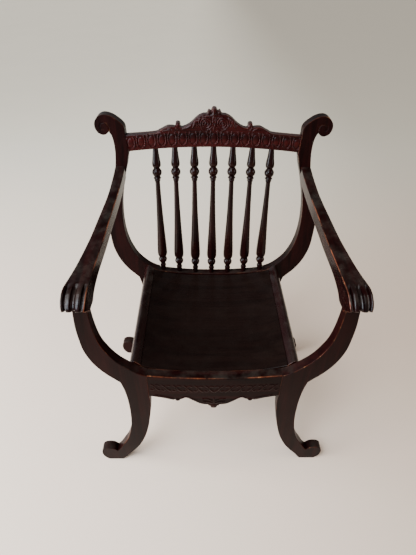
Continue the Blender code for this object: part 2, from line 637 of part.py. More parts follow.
def build():
    """Build the whole chair."""
    clear_scene()
    wood = material("mahogany", MAHOGANY, 0.22)
    seat = material("seat_lacquer", SEAT_COLOUR, 0.18)
    beech = material("beech", BEECH, 0.6)
    steel = material("steel", STEEL, 0.4, 1.0)
    for word, side in SIDES.items():
        front_leg("front_leg_" + word, side, wood)
        back_post("back_post_" + word, side, wood)
        arm("arm_" + word, side, wood)
        side_rail("seat_side_rail_" + word, side, wood)
    front_rail("front_rail", wood)
    back_rail("back_seat_rail", wood)
    crest_rail("crest_rail", wood)
    seat_panel("seat_panel", seat)
    for index in range(SPINDLE_COUNT):
        spindle("spindle_%d" % (index + 1), index, wood)
    for word, side in SIDES.items():
        for place, depth in (("front", 0.0), ("back", BACK_FACE)):
            corner_block("corner_block_%s_%s" % (place, word), side, depth, beech)
            for way, line in zip(("side", "end"), block_screws(side, depth)):
                screw("block_screw_%s_%s_%s" % (place, word, way), *line, steel)
        screw("arm_screw_" + word, *arm_screw(side), steel)
        add_dowels(word, side, beech)


if __name__ == "__main__":
    build()
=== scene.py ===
"""Dressed model of a carved mahogany armchair, built round its plain frame.

The chair has two flat U-shaped frames on scroll feet, a dished seat between them, turned spindles under a
carved crest rail, and arms that end in fluted knuckles. Metres, +Z up, the sitter faces -Y. "Left" is -X.
"""

from __future__ import annotations

import logging
import math
from dataclasses import dataclass, field
from enum import Enum
from typing import Callable, Iterable, Sequence

import bmesh
import bpy
import numpy as np
from mathutils import Matrix, Vector

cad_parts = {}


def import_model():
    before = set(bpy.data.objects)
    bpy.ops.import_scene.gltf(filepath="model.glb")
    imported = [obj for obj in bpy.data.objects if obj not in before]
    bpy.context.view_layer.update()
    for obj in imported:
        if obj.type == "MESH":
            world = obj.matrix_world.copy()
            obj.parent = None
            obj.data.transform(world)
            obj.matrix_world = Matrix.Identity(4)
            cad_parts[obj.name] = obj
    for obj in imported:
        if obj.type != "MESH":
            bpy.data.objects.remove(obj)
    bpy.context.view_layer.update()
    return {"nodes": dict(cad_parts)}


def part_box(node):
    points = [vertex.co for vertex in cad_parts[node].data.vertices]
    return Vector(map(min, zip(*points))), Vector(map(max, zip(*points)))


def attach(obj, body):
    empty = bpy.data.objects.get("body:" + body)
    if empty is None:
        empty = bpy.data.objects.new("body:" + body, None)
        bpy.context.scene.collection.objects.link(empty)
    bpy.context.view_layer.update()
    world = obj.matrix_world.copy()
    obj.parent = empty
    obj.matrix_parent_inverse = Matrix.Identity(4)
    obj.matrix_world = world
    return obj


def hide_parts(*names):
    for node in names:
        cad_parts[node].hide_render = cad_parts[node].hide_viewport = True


LOG = logging.getLogger("armchair")
BODY = "root"
WORN = "worn"                 # vertex attribute: 1 on arrises and high carving, 0 on flat faces
NUMBER = "NodeSocketFloat"
VECTOR = "NodeSocketVector"

Point2 = tuple[float, float]


class Side(Enum):
    """A half of the chair, as the sign of its X."""

    LEFT = -1
    RIGHT = 1

    @property
    def word(self) -> str:
        """The half's name as the frame's nodes spell it."""
        return self.name.lower()


class Slot(Enum):
    """The record's material slots."""

    MAHOGANY = "mahogany"
    SEAT = "seat_lacquer"
    BEECH = "beech"
    STEEL = "steel"


# ---------------------------------------------------------------------------------------------------------
# Places, read from the frame
# ---------------------------------------------------------------------------------------------------------


@dataclass(frozen=True)
class Datum:
    """Where the chair's main faces are, and how far the back leans."""

    front_face: float
    back_face: float
    slope: float
    back_board: float = 0.030
    bend_low: float = 0.38
    bend_high: float = 0.46
    gap: float = 0.0003

    @classmethod
    def from_frame(cls) -> "Datum":
        """Read the faces of the two frames from the chair's nodes.

        Returns:
            The chair's datum, in metres.
        """
        leg_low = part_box("front_leg_right")[0]
        post_low, post_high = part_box("back_post_right")
        rise = post_high[2] - (cls.bend_low + cls.bend_high) / 2.0
        slope = (post_high[1] - post_low[1] - cls.back_board) / rise
        return cls(leg_low[1], post_low[1], slope)

    def rake(self, height: float) -> float:
        """Return how far the back has leaned back at a height.

        Args:
            height: Height above the floor.

        Returns:
            The offset along +Y.
        """
        if height <= self.bend_low:
            return 0.0
        if height >= self.bend_high:
            return self.slope * (height - (self.bend_low + self.bend_high) / 2.0)
        return self.slope * (height - self.bend_low) ** 2 / (2.0 * (self.bend_high - self.bend_low))


# ---------------------------------------------------------------------------------------------------------
# Curves
# ---------------------------------------------------------------------------------------------------------


def smooth_run(points: Sequence[Point2], steps: int) -> list[Point2]:
    """Return points on a smooth curve through the given ones, without the last.

    Args:
        points: Pattern points, in order.
        steps: Points made for each span.

    Returns:
        The curve's points.
    """
    padded = [points[0], *points, points[-1]]
    curve: list[Point2] = []
    for before, start, end, after in zip(padded, padded[1:], padded[2:], padded[3:]):
        for step in range(steps):
            t = step / steps
            x, z = (
                0.5 * (2.0 * b + (c - a) * t + (2.0 * a - 5.0 * b + 4.0 * c - d) * t * t
                       + (3.0 * b - a - 3.0 * c + d) * t ** 3)
                for a, b, c, d in zip(before, start, end, after))
            curve.append((x, z))
    return curve


def arc_points(centre: Point2, radius: float, start: float, end: float, steps: int) -> list[Point2]:
    """Return points along an arc.

    Args:
        centre: The arc's centre.
        radius: Its radius.
        start: First angle, in degrees.
        end: Last angle, in degrees.
        steps: Number of spans.

    Returns:
        The points, both ends included.
    """
    angles = [math.radians(start + (end - start) * step / steps) for step in range(steps + 1)]
    return [(centre[0] + radius * math.cos(a), centre[1] + radius * math.sin(a)) for a in angles]


def round_over(distance: np.ndarray, radius: float) -> np.ndarray:
    """Return how far a rounded edge falls away at a distance from it.

    Args:
        distance: Distances from the edge.
        radius: The rounding's radius.

    Returns:
        The fall at each distance.
    """
    inside = np.clip(radius - distance, 0.0, radius)
    return radius - np.sqrt(np.maximum(radius * radius - inside * inside, 0.0))


# ---------------------------------------------------------------------------------------------------------
# Shader node groups
# ---------------------------------------------------------------------------------------------------------


class NodeKit:
    """Short ways to add and join shader nodes in one tree."""

    def __init__(self, tree: bpy.types.NodeTree) -> None:
        """Keep the tree that the nodes go into."""
        self.tree = tree

    def add(self, kind: str, **settings: object) -> bpy.types.Node:
        """Add a node.

        Args:
            kind: The node's Blender type.
            **settings: Properties of the node, or input sockets' values where no property has that name.

        Returns:
            The node.
        """
        node = self.tree.nodes.new(kind)
        for name, value in settings.items():
            if hasattr(node, name):
                setattr(node, name, value)
            else:
                node.inputs[name.replace("_", " ")].default_value = value
        return node

    def join(self, source: bpy.types.NodeSocket, target: bpy.types.NodeSocket) -> None:
        """Link an output to an input."""
        self.tree.links.new(source, target)

    def maths(self, operation: str, first: object, second: object = 0.0,
              clamp: bool = False) -> bpy.types.NodeSocket:
        """Add a Math node.

        Args:
            operation: The sum to do.
            first: A socket or a number.
            second: A socket or a number.
            clamp: Whether to keep the result between 0 and 1.

        Returns:
            The node's output.
        """
        node = self.tree.nodes.new("ShaderNodeMath")
        node.operation = operation
        node.use_clamp = clamp
        for socket, value in zip(node.inputs, (first, second)):
            if isinstance(value, bpy.types.NodeSocket):
                self.join(value, socket)
            else:
                socket.default_value = value
        return node.outputs[0]

    def blend(self, factor: object, first: object, second: object,
              mode: str = "MIX") -> bpy.types.NodeSocket:
        """Add a colour Mix node.

        Args:
            factor: A socket or a number.
            first: A socket or an RGB colour.
            second: A socket or an RGB colour.
            mode: The blend type.

        Returns:
            The mixed colour.
        """
        node = self.tree.nodes.new("ShaderNodeMix")
        node.data_type = "RGBA"
        node.blend_type = mode
        for socket, value in zip((node.inputs[0], node.inputs[6], node.inputs[7]), (factor, first, second)):
            if isinstance(value, bpy.types.NodeSocket):
                self.join(value, socket)
            elif isinstance(value, (float, int)):
                socket.default_value = float(value)
            else:
                socket.default_value = (*value, 1.0)
        return node.outputs[2]

    def ramp(self, source: bpy.types.NodeSocket, low: float, high: float) -> bpy.types.NodeSocket:
        """Add a smooth Map Range from low..high to 0..1.

        Args:
            source: The value to map.
            low: What becomes 0.
            high: What becomes 1.

        Returns:
            The mapped value.
        """
        node = self.tree.nodes.new("ShaderNodeMapRange")
        node.interpolation_type = "SMOOTHSTEP"
        node.inputs["From Min"].default_value = low
        node.inputs["From Max"].default_value = high
        self.join(source, node.inputs["Value"])
        return node.outputs["Result"]

    def noise(self, vector: bpy.types.NodeSocket, scale: object, detail: float = 3.0,
              roughness: float = 0.5, distortion: float = 0.0) -> bpy.types.NodeSocket:
        """Add a Noise Texture.

        Args:
            vector: Where to read it.
            scale: A socket or a number.
            detail: Octaves.
            roughness: How strong the fine octaves are.
            distortion: How much it is warped.

        Returns:
            The noise value.
        """
        node = self.tree.nodes.new("ShaderNodeTexNoise")
        node.inputs["Detail"].default_value = detail
        node.inputs["Roughness"].default_value = roughness
        node.inputs["Distortion"].default_value = distortion
        self.join(vector, node.inputs["Vector"])
        if isinstance(scale, bpy.types.NodeSocket):
            self.join(scale, node.inputs["Scale"])
        else:
            node.inputs["Scale"].default_value = scale
        return node.outputs[0]

    def stretched(self, vector: bpy.types.NodeSocket, scale: Sequence[float]) -> bpy.types.NodeSocket:
        """Add a Mapping node that stretches a vector.

        Args:
            vector: The vector to stretch.
            scale: Factors for its three parts.

        Returns:
            The stretched vector.
        """
        node = self.tree.nodes.new("ShaderNodeMapping")
        node.inputs["Scale"].default_value = scale
        self.join(vector, node.inputs["Vector"])
        return node.outputs[0]


@dataclass(frozen=True)
class SharedEffect:
    """A shader node group that more than one finish uses."""

    name: str
    inputs: tuple[tuple[str, str, float], ...]
    outputs: tuple[str, ...]
    fill: Callable[[NodeKit, bpy.types.Node, bpy.types.Node], None]

    def tree(self) -> bpy.types.NodeTree:
        """Return the group's tree, built on first use.

        Returns:
            The node tree with its named sockets.
        """
        made = bpy.data.node_groups.get(self.name)
        if made is not None:
            return made
        made = bpy.data.node_groups.new(self.name, "ShaderNodeTree")
        for kind, label, default in self.inputs:
            socket = made.interface.new_socket(label, in_out="INPUT", socket_type=kind)
            if kind == NUMBER:
                socket.default_value = default
        for label in self.outputs:
            made.interface.new_socket(label, in_out="OUTPUT", socket_type=NUMBER)
        start = made.nodes.new("NodeGroupInput")
        end = made.nodes.new("NodeGroupOutput")
        self.fill(NodeKit(made), start, end)
        return made

    def place(self, kit: NodeKit, vector: bpy.types.NodeSocket | None = None,
              **values: object) -> bpy.types.Node:
        """Put the group into a material.

        Args:
            kit: The material's nodes.
            vector: What feeds the group's Vector.
            **values: Numbers or sockets for its other inputs, with _ for a space.

        Returns:
            The group node.
        """
        node = kit.tree.nodes.new("ShaderNodeGroup")
        node.node_tree = self.tree()
        if vector is not None:
            kit.join(vector, node.inputs["Vector"])
        for label, value in values.items():
            socket = node.inputs[label.replace("_", " ")]
            if isinstance(value, bpy.types.NodeSocket):
                kit.join(value, socket)
            else:
                socket.default_value = value
        return node


def fill_grain(kit: NodeKit, start: bpy.types.Node, end: bpy.types.Node) -> None:
    """Draw mahogany grain that runs along the vector's Z.

    Args:
        kit: The group's nodes.
        start: The group's inputs.
        end: The group's outputs.
    """
    vector, scale = start.outputs["Vector"], start.outputs["Scale"]
    bands = kit.noise(kit.stretched(vector, (1.0, 1.0, 0.045)), scale, 5.0, 0.62, 0.6)
    ribbon = kit.noise(kit.stretched(vector, (0.35, 0.35, 0.02)), scale, 2.0, 0.5, 0.3)
    tone = kit.maths("ADD", kit.maths("MULTIPLY", bands, 0.65), kit.maths("MULTIPLY", ribbon, 0.35))
    kit.join(kit.ramp(tone, 0.33, 0.68), end.inputs["Tone"])
    fine = kit.noise(kit.stretched(vector, (9.0, 9.0, 0.22)), scale, 2.0, 0.6)
    pores = kit.ramp(fine, 0.60, 0.72)
    kit.join(kit.maths("MULTIPLY", pores, start.outputs["Pores"]), end.inputs["Pores"])
    relief = kit.maths("SUBTRACT", kit.maths("MULTIPLY", bands, 0.25), kit.maths("MULTIPLY", pores, 0.6))
    kit.join(relief, end.inputs["Height"])


def fill_wear(kit: NodeKit, start: bpy.types.Node, end: bpy.types.Node) -> None:
    """Break an edge mask up into patches of rubbed lacquer and small bare nicks.

    Args:
        kit: The group's nodes.
        start: The group's inputs.
        end: The group's outputs.
    """
    vector, edge = start.outputs["Vector"], start.outputs["Edge"]
    patches = kit.ramp(kit.noise(vector, 14.0, 4.0, 0.6), 0.42, 0.70)
    specks = kit.ramp(kit.noise(vector, 120.0, 2.0, 0.6), 0.56, 0.66)
    rubbed = kit.maths("MULTIPLY", edge, kit.maths("MULTIPLY", patches, start.outputs["Amount"]), clamp=True)
    nicks = kit.maths("MULTIPLY", rubbed, specks)
    kit.join(rubbed, end.inputs["Rubbed"])
    kit.join(kit.maths("MULTIPLY", nicks, start.outputs["Nicks"], clamp=True), end.inputs["Bare"])


def fill_haze(kit: NodeKit, start: bpy.types.Node, end: bpy.types.Node) -> None:
    """Make the cloudy unevenness of an old hand-rubbed lacquer, with fine scratches.

    Args:
        kit: The group's nodes.
        start: The group's inputs.
        end: The group's outputs.
    """
    vector = start.outputs["Vector"]
    clouds = kit.ramp(kit.noise(vector, 7.0, 4.0, 0.55, 0.4), 0.35, 0.70)
    smears = kit.ramp(kit.noise(kit.stretched(vector, (60.0, 60.0, 9.0)), 1.0, 3.0, 0.6), 0.50, 0.75)
    haze = kit.maths("ADD", kit.maths("MULTIPLY", clouds, 0.7), kit.maths("MULTIPLY", smears, 0.3))
    kit.join(kit.maths("MULTIPLY", haze, start.outputs["Strength"]), end.inputs["Haze"])
    ripple = kit.noise(vector, start.outputs["Ripple Scale"], 2.0, 0.5)
    kit.join(ripple, end.inputs["Ripple"])


def fill_dust(kit: NodeKit, start: bpy.types.Node, end: bpy.types.Node) -> None:
    """Let a thin dust lie, in patches, on what faces up.

    Args:
        kit: The group's nodes.
        start: The group's inputs.
        end: The group's outputs.
    """
    split = kit.add("ShaderNodeSeparateXYZ")
    kit.join(start.outputs["Normal"], split.inputs[0])
    up = kit.ramp(split.outputs["Z"], 0.55, 1.0)
    patchy = kit.ramp(kit.noise(start.outputs["Vector"], 22.0, 5.0, 0.65), 0.35, 0.75)
    lying = kit.maths("MULTIPLY", up, patchy)
    kit.join(kit.maths("MULTIPLY", lying, start.outputs["Amount"], clamp=True), end.inputs["Dust"])


GRAIN = SharedEffect("wood_grain", ((VECTOR, "Vector", 0.0), (NUMBER, "Scale", 60.0), (NUMBER, "Pores", 1.0)),
                     ("Tone", "Pores", "Height"), fill_grain)
WEAR = SharedEffect("edge_wear", ((VECTOR, "Vector", 0.0), (NUMBER, "Edge", 0.0), (NUMBER, "Amount", 1.0),
                                  (NUMBER, "Nicks", 1.0)), ("Rubbed", "Bare"), fill_wear)
HAZE = SharedEffect("lacquer_haze", ((VECTOR, "Vector", 0.0), (NUMBER, "Strength", 0.1),
                                     (NUMBER, "Ripple Scale", 40.0)), ("Haze", "Ripple"), fill_haze)
DUST = SharedEffect("settled_dust", ((VECTOR, "Vector", 0.0), (VECTOR, "Normal", 0.0),
                                     (NUMBER, "Amount", 0.1)), ("Dust",), fill_dust)


# ---------------------------------------------------------------------------------------------------------
# Finishes
# ---------------------------------------------------------------------------------------------------------


class Grain(Enum):
    """Which way the wood's grain runs, as the order that X, Y and Z take."""

    UPRIGHT = ("X", "Y", "Z")
    ACROSS = ("Z", "Y", "X")
    FORE_AND_AFT = ("X", "Z", "Y")


@dataclass(frozen=True)
class Lacquer:
    """Dark lacquer over mahogany, hand rubbed, with age on its edges."""

    name: str
    grain: Grain
    dark: tuple[float, float, float] = (0.0028, 0.0007, 0.0007)
    light: tuple[float, float, float] = (0.0128, 0.0021, 0.0020)
    rubbed: tuple[float, float, float] = (0.095, 0.022, 0.009)
    bare: tuple[float, float, float] = (0.34, 0.17, 0.075)
    dust: tuple[float, float, float] = (0.16, 0.145, 0.115)
    roughness: float = 0.30
    haze: float = 0.16
    coat: float = 0.02
    shine: float = 0.04
    coat_roughness: float = 0.14
    grain_scale: float = 60.0
    wear: float = 1.0
    nicks: float = 0.8
    dusting: float = 0.10
    bump: float = 0.22

    def material(self) -> bpy.types.Material:
        """Return the finish's material, made on first use.

        Returns:
            The material.
        """
        made = bpy.data.materials.get(self.name)
        if made is not None:
            return made
        made = bpy.data.materials.new(self.name)
        made.use_nodes = True
        kit = NodeKit(made.node_tree)
        shader = made.node_tree.nodes["Principled BSDF"]
        place = kit.add("ShaderNodeTexCoord").outputs["Object"]
        along = self.along_grain(kit, place)
        grain = GRAIN.place(kit, along, Scale=self.grain_scale)
        edge = kit.add("ShaderNodeAttribute", attribute_name=WORN)
        wear = WEAR.place(kit, place, Edge=edge.outputs["Fac"], Amount=self.wear, Nicks=self.nicks)
        haze = HAZE.place(kit, place, Strength=self.haze)
        normal = kit.add("ShaderNodeNewGeometry").outputs["Normal"]
        dust = DUST.place(kit, place, Normal=normal, Amount=self.dusting)
        wood = kit.blend(grain.outputs["Tone"], self.dark, self.light)
        wood = kit.blend(kit.maths("MULTIPLY", grain.outputs["Pores"], 0.7), wood, (0.003, 0.0012, 0.001))
        wood = kit.blend(wear.outputs["Rubbed"], wood, self.rubbed)
        wood = kit.blend(wear.outputs["Bare"], wood, self.bare)
        wood = kit.blend(dust.outputs["Dust"], wood, self.dust)
        kit.join(wood, shader.inputs["Base Color"])
        rough = kit.maths("ADD", haze.outputs["Haze"], self.roughness)
        rough = kit.maths("ADD", rough, kit.maths("MULTIPLY", wear.outputs["Rubbed"], 0.12))
        rough = kit.maths("ADD", rough, kit.maths("MULTIPLY", dust.outputs["Dust"], 0.5), clamp=True)
        kit.join(rough, shader.inputs["Roughness"])
        height = kit.maths("ADD", grain.outputs["Height"], kit.maths("MULTIPLY", haze.outputs["Ripple"], 0.9))
        bump = kit.add("ShaderNodeBump", Strength=self.bump, Distance=0.0006)
        kit.join(height, bump.inputs["Height"])
        kit.join(bump.outputs["Normal"], shader.inputs["Normal"])
        shader.inputs["Coat Weight"].default_value = self.coat
        shader.inputs["Coat Roughness"].default_value = self.coat_roughness
        shader.inputs["IOR"].default_value = 1.5
        shader.inputs["Specular IOR Level"].default_value = self.shine
        return made

    def along_grain(self, kit: NodeKit, place: bpy.types.NodeSocket) -> bpy.types.NodeSocket:
        """Return a vector whose Z runs along the grain.

        Args:
            kit: The material's nodes.
            place: The object coordinates.

        Returns:
            The turned vector.
        """
        split = kit.add("ShaderNodeSeparateXYZ")
        turned = kit.add("ShaderNodeCombineXYZ")
        kit.join(place, split.inputs[0])
        for label, source in zip(("X", "Y", "Z"), self.grain.value):
            kit.join(split.outputs[source], turned.inputs[label])
        return turned.outputs[0]


@dataclass(frozen=True)
class PlainWood:
    """Bare planed beech, for what is out of sight."""

    name: str
    dark: tuple[float, float, float] = (0.26, 0.155, 0.085)
    light: tuple[float, float, float] = (0.42, 0.28, 0.165)

    def material(self) -> bpy.types.Material:
        """Return the finish's material, made on first use.

        Returns:
            The material.
        """
        made = bpy.data.materials.get(self.name)
        if made is not None:
            return made
        made = bpy.data.materials.new(self.name)
        made.use_nodes = True
        kit = NodeKit(made.node_tree)
        shader = made.node_tree.nodes["Principled BSDF"]
        place = kit.add("ShaderNodeTexCoord").outputs["Object"]
        grain = GRAIN.place(kit, place, Scale=90.0)
        normal = kit.add("ShaderNodeNewGeometry").outputs["Normal"]
        dust = DUST.place(kit, place, Normal=normal, Amount=0.25)
        wood = kit.blend(grain.outputs["Tone"], self.light, self.dark)
        wood = kit.blend(grain.outputs["Pores"], wood, (0.16, 0.085, 0.04))
        wood = kit.blend(dust.outputs["Dust"], wood, (0.30, 0.27, 0.23))
        kit.join(wood, shader.inputs["Base Color"])
        kit.join(kit.maths("ADD", kit.maths("MULTIPLY", grain.outputs["Tone"], 0.12), 0.58),
                 shader.inputs["Roughness"])
        bump = kit.add("ShaderNodeBump", Strength=0.3, Distance=0.0005)
        kit.join(grain.outputs["Height"], bump.inputs["Height"])
        kit.join(bump.outputs["Normal"], shader.inputs["Normal"])
        return made


@dataclass(frozen=True)
class DullSteel:
    """Steel of old wood screws, with a little tarnish."""

    name: str
    clean: tuple[float, float, float] = (0.34, 0.33, 0.31)
    tarnish: tuple[float, float, float] = (0.10, 0.075, 0.05)

    def material(self) -> bpy.types.Material:
        """Return the finish's material, made on first use.

        Returns:
            The material.
        """
        made = bpy.data.materials.get(self.name)
        if made is not None:
            return made
        made = bpy.data.materials.new(self.name)
        made.use_nodes = True
        kit = NodeKit(made.node_tree)
        shader = made.node_tree.nodes["Principled BSDF"]
        place = kit.add("ShaderNodeTexCoord").outputs["Object"]
        haze = HAZE.place(kit, place, Strength=0.35)
        stain = kit.ramp(kit.noise(place, 160.0, 4.0, 0.6), 0.45, 0.65)
        kit.join(kit.blend(stain, self.clean, self.tarnish), shader.inputs["Base Color"])
        kit.join(kit.maths("ADD", haze.outputs["Haze"], 0.34), shader.inputs["Roughness"])
        kit.join(kit.maths("SUBTRACT", 1.0, kit.maths("MULTIPLY", stain, 0.4)), shader.inputs["Metallic"])
        bump = kit.add("ShaderNodeBump", Strength=0.2, Distance=0.0003)
        kit.join(haze.outputs["Ripple"], bump.inputs["Height"])
        kit.join(bump.outputs["Normal"], shader.inputs["Normal"])
        return made


@dataclass(frozen=True)
class PaleFloor:
    """A plain pale matt floor that pales further behind the chair, with painted shade that darkens it towards
    +X, the side away from the left window.
    """

    name: str
    near: tuple[float, float, float] = (0.80, 0.640, 0.515)
    far: tuple[float, float, float] = (0.97, 0.91, 0.77)
    # colour of the painted shade on the floor's +X side
    shade: tuple[float, float, float] = (0.58, 0.565, 0.55)

    def material(self) -> bpy.types.Material:
        """Return the finish's material.

        Returns:
            The material.
        """
        made = bpy.data.materials.new(self.name)
        made.use_nodes = True
        kit = NodeKit(made.node_tree)
        shader = made.node_tree.nodes["Principled BSDF"]
        place = kit.add("ShaderNodeTexCoord").outputs["Object"]
        split = kit.add("ShaderNodeSeparateXYZ")
        kit.join(place, split.inputs[0])
        tone = kit.blend(kit.ramp(split.outputs["Y"], 0.2, 2.4), self.near, self.far)
        # painted shade: darken the floor towards +X, standing in for the light falling off away from the left
        # window
        away = kit.blend(kit.ramp(split.outputs["X"], -0.4, 1.5), (1.0, 1.0, 1.0), self.shade)
        tone = kit.blend(1.0, tone, away, "MULTIPLY")
        clouds = kit.ramp(kit.noise(place, 1.6, 4.0, 0.5), 0.3, 0.7)
        tone = kit.blend(kit.maths("MULTIPLY", clouds, 0.03), tone, (0.4, 0.37, 0.34))
        kit.join(tone, shader.inputs["Base Color"])
        shader.inputs["Roughness"].default_value = 0.75
        return made


UPRIGHT_LACQUER = Lacquer("mahogany_upright", Grain.UPRIGHT, shine=0.05, wear=0.7)
RAIL_LACQUER = Lacquer("mahogany_across", Grain.ACROSS, wear=0.3)
ARM_LACQUER = Lacquer("mahogany_fore_and_aft", Grain.FORE_AND_AFT, rubbed=(0.21, 0.056, 0.022),
                      roughness=0.22, haze=0.05, shine=0.17, coat=0.05, wear=1.25)
CARVED_LACQUER = Lacquer("mahogany_carved", Grain.ACROSS, dark=(0.0050, 0.0007, 0.0007),
                         light=(0.036, 0.0036, 0.0036), roughness=0.24, haze=0.08, shine=0.12, dusting=0.12,
                         wear=0.3)
SPINDLE_LACQUER = Lacquer("mahogany_turned", Grain.UPRIGHT, light=(0.0100, 0.0016, 0.0015), roughness=0.15,
                          haze=0.05, shine=0.12, dusting=0.03, wear=0.1)
SEAT_LACQUER = Lacquer("seat_black_lacquer", Grain.ACROSS, dark=(0.0050, 0.0026, 0.0022),
                       light=(0.0085, 0.0042, 0.0034), roughness=0.22, haze=0.10, coat=0.10, wear=0.1,
                       coat_roughness=0.10, dusting=0.01, bump=0.12)
CARVED_FRONT = Lacquer("mahogany_carved_front", Grain.ACROSS, rubbed=(0.20, 0.052, 0.020), haze=0.14)
SIDE_RAIL_LACQUER = Lacquer("mahogany_side_rail", Grain.FORE_AND_AFT, roughness=0.22, haze=0.10, shine=0.20,
                            coat=0.06)
BEECH = PlainWood("beech_raw")
SCREW_STEEL = DullSteel("screw_steel")
FLOOR = PaleFloor("pale_floor")


# ---------------------------------------------------------------------------------------------------------
# Making meshes
# ---------------------------------------------------------------------------------------------------------


@dataclass(frozen=True)
class Board:
    """A flat piece sawn from a plank: an outline in X and Z between two depths, with rounded arrises."""

    outline: list[Point2]
    front: float
    back: float
    edge: float = 0.0022
    side: Side = Side.RIGHT
    raked: bool = False

    def build(self, datum: Datum) -> bmesh.types.BMesh:
        """Cut the board out, round its arrises and bend it where it leans back.

        Args:
            datum: The chair's main faces.

        Returns:
            The board's mesh, with worn arrises marked.
        """
        mesh = bmesh.new()
        worn = mesh.verts.layers.float.new(WORN)
        rings = []
        for depth in (self.front, self.back):
            rings.append([mesh.verts.new((self.side.value * x, datum.front_face + depth, z))
                          for x, z in self.outline])
        caps = [mesh.faces.new(ring) for ring in rings]
        for (a, b), (c, d) in zip(self.pairs(rings[0]), self.pairs(rings[1])):
            mesh.faces.new((a, b, d, c))
        bmesh.ops.recalc_face_normals(mesh, faces=mesh.faces[:])
        arrises = list({edge for cap in caps for edge in cap.edges})
        rounded = set(bmesh.ops.bevel(mesh, geom=arrises, offset=self.edge, offset_type="OFFSET", segments=4,
                                      profile=0.5, affect="EDGES", clamp_overlap=True)["faces"])
        for vert in mesh.verts:
            vert[worn] = float(all(face in rounded for face in vert.link_faces))
        if self.raked:
            self.lean(mesh, datum)
        return mesh

    @staticmethod
    def pairs(ring: list[bmesh.types.BMVert]) -> Iterable[tuple[bmesh.types.BMVert, bmesh.types.BMVert]]:
        """Return each vertex of a ring with the one after it."""
        return zip(ring, ring[1:] + ring[:1])

    @staticmethod
    def lean(mesh: bmesh.types.BMesh, datum: Datum) -> None:
        """Split the board across its bend and lean it back.

        Args:
            mesh: The board, still upright.
            datum: The chair's main faces.
        """
        for step in range(7):
            height = datum.bend_low + (datum.bend_high - datum.bend_low) * step / 6.0
            geom = mesh.verts[:] + mesh.edges[:] + mesh.faces[:]
            bmesh.ops.bisect_plane(mesh, geom=geom, plane_co=(0.0, 0.0, height), plane_no=(0.0, 0.0, 1.0))
        for vert in mesh.verts:
            vert.co.y += datum.rake(vert.co.z)


@dataclass(frozen=True)
class GridShell:
    """A closed skin over a grid of points whose columns are rings."""

    rings: np.ndarray
    worn: np.ndarray

    def build(self) -> bmesh.types.BMesh:
        """Join the rings and close both ends.

        Returns:
            The closed mesh.
        """
        mesh = bmesh.new()
        layer = mesh.verts.layers.float.new(WORN)
        loops = []
        for ring, marks in zip(self.rings, self.worn):
            loop = []
            for place, mark in zip(ring, marks):
                vert = mesh.verts.new(place)
                vert[layer] = float(mark)
                loop.append(vert)
            loops.append(loop)
        for lower, upper in zip(loops, loops[1:]):
            count = len(lower)
            for step in range(count):
                after = (step + 1) % count
                mesh.faces.new((lower[step], lower[after], upper[after], upper[step]))
        mesh.faces.new(loops[0])
        mesh.faces.new(loops[-1])
        bmesh.ops.recalc_face_normals(mesh, faces=mesh.faces[:])
        return mesh


class Bench:
    """Turns finished meshes into dressed pieces of the chair."""

    def __init__(self) -> None:
        """Start with nothing made."""
        self.made: list[bpy.types.Object] = []

    def place(self, mesh: bmesh.types.BMesh, node: str, finish: Lacquer, slot: Slot = Slot.MAHOGANY,
              crease: float = 42.0) -> bpy.types.Object:
        """Put a mesh in the scene in place of a frame node.

        Args:
            mesh: The piece's mesh; it is freed.
            node: The node that the piece stands for.
            finish: What it is lacquered with.
            slot: The record's material slot; not used.
            crease: Edges sharper than this stay sharp, in degrees.

        Returns:
            The piece.
        """
        data = bpy.data.meshes.new(node + "_wood")
        mesh.to_mesh(data)
        mesh.free()
        data.shade_smooth()
        data.set_sharp_from_angle(angle=math.radians(crease))
        data.materials.append(finish.material())
        piece = bpy.data.objects.new(node + "_finished", data)
        bpy.context.scene.collection.objects.link(piece)
        weighted = piece.modifiers.new("even_normals", "WEIGHTED_NORMAL")
        weighted.keep_sharp = True
        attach(piece, BODY)
        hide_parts(node)
        self.made.append(piece)
        LOG.info("%s: %d faces", piece.name, len(data.polygons))
        return piece

    @staticmethod
    def carve(mesh: bmesh.types.BMesh, cutter: bmesh.types.BMesh) -> bmesh.types.BMesh:
        """Cut one mesh out of another.

        Args:
            mesh: The wood; it is freed.
            cutter: What to take away; it is freed.

        Returns:
            The carved mesh.
        """
        objects = []
        for label, source in (("wood", mesh), ("cutter", cutter)):
            data = bpy.data.meshes.new(label)
            source.to_mesh(data)
            source.free()
            objects.append(bpy.data.objects.new(label, data))
            bpy.context.scene.collection.objects.link(objects[-1])
        cut = objects[0].modifiers.new("cut", "BOOLEAN")
        cut.operation = "DIFFERENCE"
        cut.solver = "EXACT"
        cut.object = objects[1]
        bpy.context.view_layer.update()
        result = bmesh.new()
        result.from_object(objects[0], bpy.context.evaluated_depsgraph_get())
        for item in objects:
            data = item.data
            bpy.data.objects.remove(item)
            bpy.data.meshes.remove(data)
        return result


def sweep(path: list[Vector], radii: list[float], segments: int = 10) -> bmesh.types.BMesh:
    """Return a closed round bar along a path in a plane of constant Y, give or take the lean.

    Args:
        path: The bar's middle line.
        radii: Its radius at each point.
        segments: Sides of the bar.

    Returns:
        The bar's mesh.
    """
    mesh = bmesh.new()
    loops = []
    for index, (centre, radius) in enumerate(zip(path, radii)):
        before, after = path[max(index - 1, 0)], path[min(index + 1, len(path) - 1)]
        along = (after - before).normalized()
        across = along.cross(Vector((0.0, 1.0, 0.0))).normalized()
        out = across.cross(along)
        loop = []
        for step in range(segments):
            angle = 2.0 * math.pi * step / segments
            loop.append(mesh.verts.new(centre + radius * (across * math.cos(angle) + out * math.sin(angle))))
        loops.append(loop)
    for lower, upper in zip(loops, loops[1:]):
        for step in range(segments):
            after = (step + 1) % segments
            mesh.faces.new((lower[step], lower[after], upper[after], upper[step]))
    mesh.faces.new(loops[0])
    mesh.faces.new(loops[-1])
    bmesh.ops.recalc_face_normals(mesh, faces=mesh.faces[:])
    return mesh


